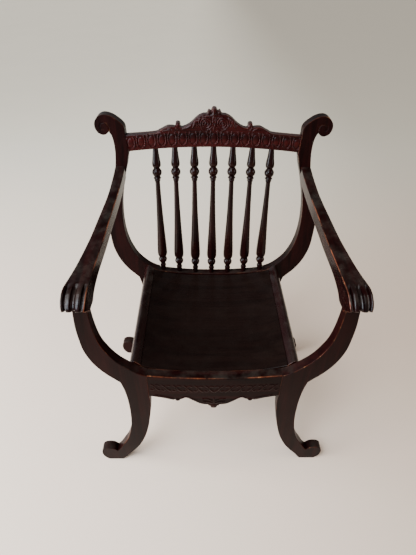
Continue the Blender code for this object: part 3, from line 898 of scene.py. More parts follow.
# ---------------------------------------------------------------------------------------------------------
# Leg boards and posts
# ---------------------------------------------------------------------------------------------------------


@dataclass(frozen=True)
class LegShape:
    """The outline that the front and the back boards share, from the rail joint round the foot."""

    joint: float = 0.1735
    sole: tuple[float, float] = (0.277, 0.322)
    toe: tuple[Point2, ...] = ((0.3345, 0.014), (0.3396, 0.032), (0.3375, 0.050), (0.327, 0.0605),
                               (0.312, 0.0625), (0.3000, 0.058), (0.2915, 0.048))
    outer: tuple[Point2, ...] = ((0.2805, 0.062), (0.267, 0.088), (0.253, 0.115), (0.2427, 0.148),
                                 (0.2367, 0.178), (0.2328, 0.210), (0.2310, 0.255), (0.2317, 0.305),
                                 (0.2360, 0.351), (0.2435, 0.3860))
    inner: tuple[Point2, ...] = ((0.1718, 0.300), (0.1745, 0.258), (0.1798, 0.220), (0.1858, 0.183),
                                 (0.1995, 0.129), (0.2195, 0.0815), (0.2385, 0.052), (0.259, 0.026),
                                 (0.272, 0.006))
    arc: tuple[Point2, ...] = ((0.2575, 0.4010), (0.2755, 0.4205), (0.2955, 0.4500), (0.309, 0.4795),
                               (0.318, 0.5130), (0.3215, 0.552), (0.3225, 0.584))
    steps: int = 5

    def run(self, inner_top: Point2, rail_low: float) -> list[Point2]:
        """Return the runs of a leg from its rail joint, round the foot and up its outer side.

        Args:
            inner_top: The top corner of the rail joint.
            rail_low: The height of the joint's lower corner.

        Returns:
            The outline's points.
        """
        inner = [(self.joint, rail_low), *self.inner, (self.sole[0], 0.0)]
        toe = [(self.sole[1], 0.0), *self.toe]
        outer = [self.toe[-1], *self.outer]
        return [inner_top, *smooth_run(inner, self.steps), inner[-1], *smooth_run(toe, self.steps),
                *smooth_run(outer, self.steps)]


@dataclass
class FrontLegs:
    """The two front boards: arm support, leg and scroll foot in one."""

    datum: Datum
    bench: Bench
    shape: LegShape = field(default_factory=LegShape)
    thickness: float = 0.027
    edge: float = 0.0024
    rail_low: float = 0.3265
    rail_top: float = 0.4105
    arc_top: tuple[Point2, ...] = ((0.3215, 0.612), (0.3195, 0.640))
    inner: tuple[Point2, ...] = ((0.2868, 0.640), (0.2855, 0.600), (0.282, 0.562), (0.275, 0.5275),
                                 (0.263, 0.499), (0.2505, 0.477), (0.238, 0.4605), (0.2195, 0.4425),
                                 (0.1965, 0.4225))

    def outline(self) -> list[Point2]:
        """Return the board's outline, anticlockwise from the arm's seat.

        Returns:
            The outline's points.
        """
        joint = (self.shape.joint, self.rail_top)
        points = smooth_run([*self.inner, joint], self.shape.steps)
        points += self.shape.run(joint, self.rail_low)
        points += smooth_run([self.shape.outer[-1], *self.shape.arc, *self.arc_top], self.shape.steps)
        return [*points, self.arc_top[-1]]

    def build(self) -> None:
        """Make both boards."""
        for side in Side:
            board = Board(self.outline(), 0.0, self.thickness, self.edge, side)
            self.bench.place(board.build(self.datum), f"front_leg_{side.word}", UPRIGHT_LACQUER)


@dataclass
class BackPosts:
    """The two back boards: scroll, post, arc, leg and scroll foot in one, bent to lean back."""

    datum: Datum
    bench: Bench
    shape: LegShape = field(default_factory=LegShape)
    edge: float = 0.0024
    rail_low: float = 0.345
    crest_low: Point2 = (0.2405, 0.802)
    inner: tuple[Point2, ...] = ((0.2435, 0.795), (0.2485, 0.770), (0.2575, 0.738), (0.2665, 0.700),
                                 (0.2735, 0.660), (0.2765, 0.620), (0.2765, 0.585), (0.2735, 0.552),
                                 (0.2665, 0.520), (0.256, 0.492), (0.242, 0.4665), (0.2225, 0.4445),
                                 (0.199, 0.4255), (0.1735, 0.4135))
    outer: tuple[Point2, ...] = ((0.317, 0.622), (0.3085, 0.660), (0.2975, 0.700), (0.288, 0.738),
                                 (0.282, 0.772), (0.279, 0.805), (0.280, 0.832), (0.284, 0.852),
                                 (0.2905, 0.8625))
    scroll: tuple[Point2, ...] = ((0.298, 0.856), (0.308, 0.854), (0.320, 0.8595), (0.3275, 0.872),
                                  (0.3275, 0.887), (0.319, 0.900), (0.306, 0.907), (0.291, 0.9065),
                                  (0.275, 0.900), (0.2570, 0.887), (0.2478, 0.875), (0.2462, 0.860))
    groove: tuple[Point2, ...] = ((0.2905, 0.8600), (0.2885, 0.8700), (0.2925, 0.8810), (0.3020, 0.8865),
                                  (0.3115, 0.8830), (0.3145, 0.8745), (0.3100, 0.8680), (0.3035, 0.8685))
    groove_radii: tuple[float, float] = (0.0007, 0.0029)
    groove_sink: float = 0.0004
    rear_lift: float = 0.0008

    def outline(self) -> list[Point2]:
        """Return the board's outline, from under the crest rail.

        Returns:
            The outline's points.
        """
        steps = self.shape.steps
        points = smooth_run([self.crest_low, *self.inner], steps)
        points += self.shape.run(self.inner[-1], self.rail_low)
        points += smooth_run([self.shape.outer[-1], *self.shape.arc, *self.outer], steps)
        points += smooth_run([self.outer[-1], *self.scroll], steps)
        return [*points, self.scroll[-1]]

    def volute(self, side: Side, depth: float) -> bmesh.types.BMesh:
        """Return the cutter for the groove that curls into the scroll.

        Args:
            side: Which post it is for.
            depth: Depth of the face that it cuts, upright.

        Returns:
            The cutter's mesh.
        """
        run = smooth_run(self.groove, 5) + [self.groove[-1]]
        face = self.datum.front_face + depth - self.groove_sink
        path = [Vector((side.value * x, face + self.datum.rake(z), z)) for x, z in run]
        thin, thick = self.groove_radii
        swell = np.sin(math.pi * np.linspace(0.35, 0.97, len(path)))
        return sweep(path, [float(radius) for radius in thin + (thick - thin) * swell])

    def build(self) -> None:
        """Make both boards and cut their scrolls."""
        front = self.datum.back_face - self.datum.front_face
        back = front + self.datum.back_board
        for side in Side:
            wood = Board(self.outline(), front, back, self.edge, side, raked=True).build(self.datum)
            for depth in (front, back + self.rear_lift):
                wood = Bench.carve(wood, self.volute(side, depth))
            self.bench.place(wood, f"back_post_{side.word}", UPRIGHT_LACQUER)


# ---------------------------------------------------------------------------------------------------------
# Carved rails
# ---------------------------------------------------------------------------------------------------------


@dataclass(frozen=True)
class Stroke:
    """A leaf-like stroke: its middle line, half of its width, its height and the share of width it loses."""

    points: tuple[Point2, ...]
    width: float
    height: float
    taper: float = 0.75

    def moved(self, x: float, z: float) -> "Stroke":
        """Return the stroke with its middle line moved."""
        return Stroke(tuple((px + x, pz + z) for px, pz in self.points), self.width, self.height, self.taper)


@dataclass(frozen=True)
class Egg:
    """A domed oval: half of its width, half of its height, and how far it stands up."""

    half_width: float
    half_height: float
    height: float


@dataclass(frozen=True)
class Spiral:
    """A mirrored pair of spirals: their middles, outer radius, turns, half thickness and height."""

    x: float
    z: float
    outer: float
    turns: float
    rim: float
    height: float


@dataclass
class Relief:
    """Carving on the face of a rail, as a height above the face at each place."""

    x: np.ndarray
    z: np.ndarray
    height: np.ndarray = field(init=False)

    def __post_init__(self) -> None:
        """Start with a flat face."""
        self.height = np.zeros_like(self.x)

    def raise_to(self, height: np.ndarray) -> None:
        """Lift the face to a height wherever that is higher."""
        self.height = np.maximum(self.height, height)

    def strokes(self, cuts: Iterable[Stroke]) -> None:
        """Carve strokes, round in section, that thin towards their ends, on both halves.

        Args:
            cuts: The strokes.
        """
        for cut in cuts:
            self.stroke(cut)

    def stroke(self, cut: Stroke) -> None:
        """Carve one stroke on both halves.

        Args:
            cut: The stroke.
        """
        line = smooth_run(cut.points, 4) + [cut.points[-1]]
        count = len(line) - 1
        across = np.abs(self.x)
        best = np.zeros_like(self.x)
        for index, (start, end) in enumerate(zip(line, line[1:])):
            dx, dz = end[0] - start[0], end[1] - start[1]
            t = np.clip(((across - start[0]) * dx + (self.z - start[1]) * dz) / (dx * dx + dz * dz), 0.0, 1.0)
            gap = np.hypot(across - start[0] - t * dx, self.z - start[1] - t * dz)
            reach = cut.width * (1.0 - cut.taper * (index + t) / count)
            best = np.maximum(best, cut.height * np.sqrt(np.maximum(1.0 - (gap / reach) ** 2, 0.0)))
        self.raise_to(best)

    def egg(self, x: float, z: float, egg: Egg, size: float = 1.0) -> None:
        """Carve a domed oval.

        Args:
            x: Its middle.
            z: Its middle.
            egg: The oval.
            size: Share of its full height in Z.
        """
        reach = ((self.x - x) / egg.half_width) ** 2 + ((self.z - z) / (egg.half_height * size)) ** 2
        self.raise_to(egg.height * np.maximum(1.0 - reach, 0.0) ** 0.5)

    def pair(self, x: float, z: float, egg: Egg) -> None:
        """Carve the same oval on both halves."""
        self.egg(x, z, egg)
        self.egg(-x, z, egg)

    def line(self, points: Sequence[Point2], width: float, height: float) -> None:
        """Carve one thin raised line, on one half only.

        Args:
            points: Its middle line.
            width: Half of its width.
            height: How far it stands up.
        """
        run = smooth_run(points, 3) + [points[-1]]
        for start, end in zip(run, run[1:]):
            dx, dz = end[0] - start[0], end[1] - start[1]
            t = np.clip(((self.x - start[0]) * dx + (self.z - start[1]) * dz) / (dx * dx + dz * dz), 0.0, 1.0)
            gap = np.hypot(self.x - start[0] - t * dx, self.z - start[1] - t * dz)
            self.raise_to(height * np.sqrt(np.maximum(1.0 - (gap / width) ** 2, 0.0)))

    def spiral(self, cut: Spiral) -> None:
        """Carve a mirrored pair of spirals with a bead in the middle of each.

        Args:
            cut: The spirals.
        """
        dx, dz = np.abs(self.x) - cut.x, self.z - cut.z
        radius = np.hypot(dx, dz)
        turn = np.arctan2(dz, -dx) / (2.0 * math.pi) % 1.0
        pitch = cut.outer / cut.turns
        gap = np.abs((radius / pitch - turn + 0.5) % 1.0 - 0.5) * pitch
        ridge = cut.height * np.sqrt(np.maximum(1.0 - (gap / cut.rim) ** 2, 0.0))
        self.raise_to(np.where(radius < cut.outer, ridge, 0.0))
        bead = 1.3 * cut.rim
        self.raise_to(cut.height * np.sqrt(np.maximum(1.0 - (radius / bead) ** 2, 0.0)))


@dataclass(frozen=True)
class CarvedRail:
    """A rail with a relief face between two contours that are mirrored about the middle plane."""

    lower: list[Point2]
    upper: list[Point2]
    front: float
    back: float
    edge: float
    raked: bool
    carve: Callable[[Relief], None]
    column: float = 0.0008
    rows: int = 64
    soft: float = 0.0012
    edge_wear: float = 0.9
    relief_wear: float = 0.12
    full_relief: float = 0.004

    def build(self, datum: Datum) -> bmesh.types.BMesh:
        """Make the rail's closed skin.

        Args:
            datum: The chair's main faces.

        Returns:
            The rail's mesh.
        """
        half = self.lower[0][0]
        count = 2 * int(half / self.column) + 1
        x = np.linspace(-half, half, count)
        spread = self.upper[0][0] / half - 1.0
        low = self.contour(self.lower, x)
        high = self.contour(self.upper, x * (1.0 + spread))
        shares = self.shares()
        z = low[:, None] + (high - low)[:, None] * shares[None, :]
        across = x[:, None] * (1.0 + spread * shares[None, :])
        relief = Relief(across, z)
        self.carve(relief)
        fall = round_over(self.edge_distance(across, z), self.edge)
        depth = self.front + fall - relief.height
        worn = np.clip(fall / self.edge * 2.0, 0.0, 1.0) * self.edge_wear
        worn += np.clip(relief.height / self.full_relief, 0.0, 1.0) * self.relief_wear
        return self.skin(datum, across, z, depth, np.clip(worn, 0.0, 1.0))

    @staticmethod
    def contour(points: list[Point2], x: np.ndarray) -> np.ndarray:
        """Return a mirrored contour's height at each place across the rail."""
        ordered = sorted(points)
        return np.interp(np.abs(x), [p[0] for p in ordered], [p[1] for p in ordered])

    def shares(self) -> np.ndarray:
        """Return the rows' places from the lower to the upper edge, closer together near the edges."""
        even = np.linspace(0.0, 1.0, self.rows)
        return np.unique(np.concatenate([even, [0.004, 0.010, 0.020, 0.980, 0.990, 0.996]]))

    def edge_distance(self, x: np.ndarray, z: np.ndarray) -> np.ndarray:
        """Return each place's distance from the rail's upper and lower contours.

        Args:
            x: Places across the rail.
            z: Their heights.

        Returns:
            The distances.
        """
        across = np.abs(x)
        best = np.full_like(x, 1.0)
        for line in (self.lower, self.upper):
            ordered = sorted(line)
            for start, end in zip(ordered, ordered[1:]):
                dx, dz = end[0] - start[0], end[1] - start[1]
                length = dx * dx + dz * dz
                if length < 1e-12:
                    continue
                t = np.clip(((across - start[0]) * dx + (z - start[1]) * dz) / length, 0.0, 1.0)
                best = np.minimum(best, np.hypot(across - start[0] - t * dx, z - start[1] - t * dz))
        return best

    def skin(self, datum: Datum, x: np.ndarray, z: np.ndarray, depth: np.ndarray,
             worn: np.ndarray) -> bmesh.types.BMesh:
        """Close the relief face with a top, a back and an underside.

        Args:
            datum: The chair's main faces.
            x: Places of the face's points across the rail.
            z: Their heights.
            depth: Their depths.
            worn: How worn each place is.

        Returns:
            The rail's mesh.
        """
        soft = self.soft
        low, high = z[:, 0], z[:, -1]
        top, foot = x[:, -1:], x[:, :1]
        near = self.front + self.edge + soft
        rear = [(high, near, 0.0), (high, self.back - 2.0 * soft, 0.0), (high, self.back - soft, 0.3),
                (high - 0.3 * soft, self.back - 0.3 * soft, 1.0), (high - soft, self.back, 0.3),
                (low + soft, self.back, 0.3), (low + 0.3 * soft, self.back - 0.3 * soft, 1.0),
                (low, self.back - soft, 0.3), (low, near, 0.0)]
        columns = [[np.full_like(low, 1.0) * row[part] for row in rear] for part in range(3)]
        heights, depths, marks = (np.concatenate([face, np.stack(column, axis=1)], axis=1)
                                  for face, column in zip((z, depth, worn), columns))
        across = np.concatenate([x, *[top] * 5, *[foot] * 4], axis=1)
        if self.raked:
            depths = depths + np.vectorize(datum.rake)(heights)
        places = np.stack([across, depths + datum.front_face, heights], axis=2)
        return GridShell(places, marks).build()


def hollow_contour(half: float, middle: float, end: float, steps: int = 40) -> list[Point2]:
    """Return half of a contour that dips or rises evenly from its ends to the middle plane.

    Args:
        half: Half of the contour's width.
        middle: Height at the middle plane.
        end: Height at its end.
        steps: Number of spans.

    Returns:
        The points, from the end inwards.
    """
    places = [half * (1.0 - step / steps) for step in range(steps + 1)]
    return [(x, middle + (end - middle) * (x / half) ** 2) for x in places]


@dataclass
class FrontRail:
    """The carved front rail: a band of leaves over a shaped apron with two knobs and a drop."""

    datum: Datum
    bench: Bench
    joint: float = 0.1735
    setback: float = 0.0008
    low_corner: float = 0.3265
    top_middle: float = 0.399
    top_end: float = 0.4105
    thickness: float = 0.027
    apron: tuple[Point2, ...] = ((0.137, 0.3175), (0.119, 0.311), (0.107, 0.308))
    knob: tuple[float, float, float] = (0.098, 0.3112, 0.0072)
    swag: tuple[Point2, ...] = ((0.089, 0.311), (0.0745, 0.3175), (0.0575, 0.306), (0.0385, 0.292),
                                (0.024, 0.2875), (0.0165, 0.2865), (0.0135, 0.2815), (0.0095, 0.2805),
                                (0.0085, 0.2750), (0.0060, 0.2722), (0.0030, 0.2712), (0.0, 0.271))
    edge: float = 0.0024
    crease: float = 62.0
    leaf_pitch: float = 0.0285
    leaves: int = 12
    crown_middle: float = 0.3695
    crown_rise: float = 0.009
    motif: tuple[Stroke, ...] = (
        Stroke(((-0.0115, -0.0235), (-0.004, -0.016), (0.004, -0.004), (0.0085, 0.0)), 0.0028, 0.0013, 0.45),
        Stroke(((-0.0110, -0.0040), (-0.0060, -0.0015), (-0.0010, -0.0050), (-0.0030, -0.0110)),
               0.0026, 0.0012, 0.55),
        Stroke(((0.0095, -0.0215), (0.0050, -0.0230), (0.0010, -0.0190), (0.0035, -0.0130)),
               0.0026, 0.0012, 0.55))
    sprays: tuple[Stroke, ...] = (
        Stroke(((0.003, 0.296), (0.015, 0.300), (0.030, 0.303)), 0.0036, 0.0018),
        Stroke(((0.006, 0.306), (0.019, 0.314), (0.033, 0.315)), 0.0032, 0.0016),
        Stroke(((0.0, 0.300), (0.0, 0.318)), 0.0042, 0.0019),
        Stroke(((0.086, 0.317), (0.074, 0.323), (0.058, 0.314), (0.044, 0.305)), 0.0026, 0.0014, 0.6),
        Stroke(((0.110, 0.3165), (0.134, 0.3255), (0.158, 0.333)), 0.0026, 0.0014, 0.6))
    knob_egg: Egg = Egg(0.0052, 0.0052, 0.0018)
    drop_egg: Egg = Egg(0.0065, 0.0100, 0.0022)
    drop_height: float = 0.283

    def apron_edge(self) -> list[Point2]:
        """Return half of the rail's lower contour.

        Returns:
            The points, from the leg to the middle plane.
        """
        end = self.joint - self.datum.gap
        points = smooth_run([(end, self.low_corner), *self.apron], 5) + [self.apron[-1]]
        points += arc_points(self.knob[:2], self.knob[2], 0.0, -180.0, 14)
        return points + smooth_run(self.swag, 5) + [self.swag[-1]]

    def carve(self, relief: Relief) -> None:
        """Carve the band of leaves, the sprays, the knobs and the drop.

        Args:
            relief: The rail's face.
        """
        for index in range(self.leaves // 2):
            x = (index + 0.5) * self.leaf_pitch
            crown = self.crown_middle + self.crown_rise * (x / self.joint) ** 2
            relief.strokes(cut.moved(x, crown) for cut in self.motif)
        relief.pair(self.knob[0], self.knob[1], self.knob_egg)
        relief.egg(0.0, self.drop_height, self.drop_egg)
        relief.strokes(self.sprays)

    def build(self) -> None:
        """Make the rail."""
        end = self.joint - self.datum.gap
        upper = hollow_contour(end, self.top_middle, self.top_end)
        rail = CarvedRail(self.apron_edge(), upper, self.setback, self.thickness, self.edge, False,
                          self.carve)
        self.bench.place(rail.build(self.datum), "front_rail", CARVED_FRONT, crease=self.crease)


@dataclass
class BackRail:
    """The plain back rail, hollow on top, that carries the spindles."""

    datum: Datum
    bench: Bench
    joint: float = 0.1735
    low: float = 0.345
    top_middle: float = 0.400
    top_end: float = 0.4135
    depth: float = 0.027
    edge: float = 0.0022

    def top_at(self, x: float) -> float:
        """Return the height of its top at a distance from the middle plane."""
        return self.top_middle + (self.top_end - self.top_middle) * (x / (self.joint - self.datum.gap)) ** 2

    def build(self) -> None:
        """Make the rail."""
        end = self.joint - self.datum.gap
        half = hollow_contour(end, self.top_middle, self.top_end, 14)
        outline = half + [(-x, z) for x, z in half[-2::-1]] + [(-end, self.low), (end, self.low)]
        front = self.datum.back_face - self.datum.front_face
        board = Board(outline, front, front + self.depth, self.edge, raked=True)
        self.bench.place(board.build(self.datum), "back_seat_rail", RAIL_LACQUER)


@dataclass
class CrestRail:
    """The carved crest rail: a band of eggs in husks under spirals, leaves and a small palmette."""

    datum: Datum
    bench: Bench
    half: float = 0.2405
    half_top: float = 0.2465
    top_end: float = 0.852
    setback: float = 0.003
    thickness: float = 0.022
    low_end: float = 0.808
    low_middle: float = 0.822
    shoulder: tuple[Point2, ...] = ((0.169, 0.8585), (0.153, 0.8640), (0.141, 0.8700), (0.133, 0.8740),
                                    (0.126, 0.8760), (0.115, 0.8755), (0.1075, 0.8745))
    knob: tuple[Point2, ...] = ((0.1070, 0.8775), (0.1078, 0.8815), (0.1062, 0.8848), (0.1032, 0.8866),
                                (0.1000, 0.8870), (0.0968, 0.8862), (0.0940, 0.8836), (0.0932, 0.8795),
                                (0.0928, 0.8742))
    centre: tuple[Point2, ...] = ((0.089, 0.8730), (0.078, 0.8765), (0.064, 0.885), (0.052, 0.896),
                                  (0.042, 0.9035), (0.031, 0.9080), (0.0215, 0.9090), (0.0190, 0.9125),
                                  (0.0170, 0.9165), (0.0144, 0.9180), (0.0118, 0.9172), (0.0098, 0.9155),
                                  (0.0080, 0.9180), (0.0066, 0.9215), (0.0045, 0.9240), (0.0, 0.925))
    egg_pitch: float = 0.0292
    eggs: int = 15
    egg: Egg = Egg(0.0082, 0.0136, 0.0020)
    egg_fall: float = 0.10
    husk: tuple[Point2, ...] = ((0.0085, 0.0172), (0.0098, 0.0135), (0.0111, 0.0070), (0.0114, 0.0),
                                (0.0109, -0.0070), (0.0088, -0.0130), (0.0042, -0.0168))
    husk_width: float = 0.0016
    husk_height: float = 0.0034
    band_middle: float = 0.8470
    band_drop: float = 0.0125
    band_half: float = 0.21
    edge: float = 0.0020
    crease: float = 62.0
    spiral: Spiral = Spiral(0.0222, 0.8850, 0.0190, 3.0, 0.0015, 0.0026)
    leaves: tuple[Stroke, ...] = (
        Stroke(((0.0395, 0.8990), (0.0425, 0.8900), (0.0400, 0.8780)), 0.0022, 0.0022, 0.5),
        Stroke(((0.0450, 0.8950), (0.0475, 0.8870), (0.0455, 0.8770)), 0.0020, 0.0020, 0.5),
        Stroke(((0.0510, 0.8890), (0.0545, 0.8820), (0.0590, 0.8745)), 0.0050, 0.0026, 0.7),
        Stroke(((0.0640, 0.8790), (0.0750, 0.8735), (0.0880, 0.8700)), 0.0024, 0.0014, 0.6),
        Stroke(((0.1010, 0.8690), (0.1050, 0.8745), (0.1060, 0.8800)), 0.0020, 0.0020, 0.3),
        Stroke(((0.1120, 0.8690), (0.1200, 0.8720), (0.1290, 0.8715)), 0.0026, 0.0020, 0.7),
        Stroke(((0.1100, 0.8665), (0.1260, 0.8672), (0.1420, 0.8645)), 0.0026, 0.0018, 0.7),
        Stroke(((0.1480, 0.8600), (0.1660, 0.8565), (0.1900, 0.8530)), 0.0018, 0.0010))
    palmette: tuple[Stroke, ...] = (
        Stroke(((0.0, 0.9225), (0.0, 0.9090)), 0.0058, 0.0034, 0.35),
        Stroke(((0.0, 0.9100), (0.0070, 0.9060), (0.0190, 0.9045), (0.0330, 0.9020)), 0.0026, 0.0024),
        Stroke(((0.0012, 0.9060), (0.0030, 0.8960), (0.0016, 0.8800)), 0.0022, 0.0022, 0.4),
        Stroke(((0.0, 0.8760), (0.0, 0.8690)), 0.0034, 0.0022, 0.5))
    knob_place: Point2 = (0.1005, 0.8800)
    knob_egg: Egg = Egg(0.0052, 0.0055, 0.0030)
    bud_place: Point2 = (0.0144, 0.9135)
    bud_egg: Egg = Egg(0.0042, 0.0042, 0.0030)

    def band_at(self, x: float) -> float:
        """Return the height of the egg band's middle line at a distance from the middle plane."""
        return self.band_middle - self.band_drop * (x / self.band_half) ** 2

    def low_at(self, x: float) -> float:
        """Return the height of the rail's underside at a distance from the middle plane."""
        return self.low_middle + (self.low_end - self.low_middle) * (x / (self.half - self.datum.gap)) ** 2

    def upper_edge(self) -> list[Point2]:
        """Return half of the rail's upper contour.

        Returns:
            The points, from the post to the middle plane.
        """
        end = (self.half_top - self.datum.gap, self.top_end)
        points = smooth_run([end, *self.shoulder], 5) + [self.shoulder[-1]]
        points += list(self.knob)
        return points + smooth_run(self.centre, 5) + [self.centre[-1]]

    def carve(self, relief: Relief) -> None:
        """Carve the band, the spirals, the leaves, the palmette and the knobs.

        Args:
            relief: The rail's face.
        """
        for index in range(self.eggs + 2):
            x = (index - (self.eggs + 1) / 2.0) * self.egg_pitch
            size = 1.0 - self.egg_fall * (x / self.half) ** 2
            z = self.band_at(x)
            relief.egg(x, z, self.egg, size)
            for way in (-1.0, 1.0):
                self.husk_arm(relief, x, z, way, size)
        relief.spiral(self.spiral)
        relief.strokes(self.leaves)
        relief.strokes(self.palmette)
        relief.pair(*self.knob_place, self.knob_egg)
        relief.pair(*self.bud_place, self.bud_egg)

    def husk_arm(self, relief: Relief, x: float, z: float, way: float, size: float) -> None:
        """Carve one of the two thin rims that cup an egg and turn out at their ends.

        Args:
            relief: The rail's face.
            x: The egg's middle.
            z: The egg's middle.
            way: -1 for the rim on its left, 1 for the one on its right.
            size: Share of the full height.
        """
        rim = [(x + way * across, z + size * up) for across, up in self.husk]
        relief.line(rim, self.husk_width, self.husk_height)

    def build(self) -> None:
        """Make the rail."""
        lower = hollow_contour(self.half - self.datum.gap, self.low_middle, self.low_end)
        front = self.datum.back_face - self.datum.front_face + self.setback
        rail = CarvedRail(lower, self.upper_edge(), front, front + self.thickness, self.edge, True,
                          self.carve)
        self.bench.place(rail.build(self.datum), "crest_rail", CARVED_LACQUER, crease=self.crease)


# ---------------------------------------------------------------------------------------------------------
# Spindles and arms
# ---------------------------------------------------------------------------------------------------------


@dataclass
class Spindles:
    """Seven turned spindles between the back rail and the crest rail."""

    datum: Datum
    bench: Bench
    rail: BackRail
    crest: CrestRail
    count: int = 7
    foot_pitch: float = 0.0538
    top_pitch: float = 0.0554
    sides: int = 32
    profile: tuple[Point2, ...] = (
        (0.0, 0.0076), (0.022, 0.0080), (0.040, 0.0094), (0.052, 0.0084), (0.060, 0.0076), (0.068, 0.0092),
        (0.078, 0.0120), (0.096, 0.0140), (0.114, 0.0118), (0.120, 0.0098), (0.125, 0.0104), (0.132, 0.0134),
        (0.146, 0.0152), (0.175, 0.0157), (0.240, 0.0146), (0.330, 0.0127), (0.420, 0.0109), (0.520, 0.0093),
        (0.620, 0.0080), (0.742, 0.0070), (0.752, 0.0072), (0.758, 0.0083), (0.765, 0.0090), (0.770, 0.0083),
        (0.774, 0.0093), (0.781, 0.0112), (0.788, 0.0096), (0.793, 0.0084), (0.800, 0.0108), (0.811, 0.0134),
        (0.823, 0.0143), (0.835, 0.0134), (0.846, 0.0108), (0.853, 0.0085), (0.858, 0.0092), (0.867, 0.0117),
        (0.880, 0.0128), (0.900, 0.0122), (0.940, 0.0099), (1.0, 0.0076))
    tenon: float = 0.005
    tenon_share: float = 0.012
    shoulder_share: float = 0.0005
    bead: float = 0.0112
    bead_wear: float = 0.35
    crease: float = 60.0

    def ends(self, index: int) -> tuple[Vector, Vector]:
        """Return the places where a spindle meets the back rail and the crest rail.

        Args:
            index: Which spindle, from the left.

        Returns:
            Its foot and its top.
        """
        place = index - (self.count - 1) / 2.0
        foot_x, top_x = place * self.foot_pitch, place * self.top_pitch
        foot_z, top_z = self.rail.top_at(foot_x), self.crest.low_at(top_x)
        foot_y = self.rail.depth / 2.0 + self.datum.rake(foot_z)
        top_y = self.crest.setback + self.crest.thickness / 2.0 + self.datum.rake(top_z)
        face = self.datum.back_face
        return Vector((foot_x, face + foot_y, foot_z)), Vector((top_x, face + top_y, top_z))

    def build(self) -> None:
        """Turn and place all the spindles."""
        foot_tenon = [(-self.tenon_share, self.tenon), (-self.shoulder_share, self.tenon)]
        top_tenon = [(1.0 - share, radius) for share, radius in reversed(foot_tenon)]
        curve = [*foot_tenon, *smooth_run(self.profile, 4), self.profile[-1], *top_tenon]
        for index in range(self.count):
            foot, top = self.ends(index)
            along = top - foot
            across = Vector((1.0, 0.0, 0.0)).cross(along).normalized()
            other = along.normalized().cross(across)
            rings, marks = [], []
            for share, radius in curve:
                centre = foot + along * share
                turns = [2.0 * math.pi * step / self.sides for step in range(self.sides)]
                rings.append([tuple(centre + radius * (across * math.cos(turn) + other * math.sin(turn)))
                              for turn in turns])
                marks.append([self.bead_wear * float(radius > self.bead)] * self.sides)
            mesh = GridShell(np.array(rings), np.array(marks)).build()
            self.bench.place(mesh, f"spindle_{index + 1}", SPINDLE_LACQUER, crease=self.crease)


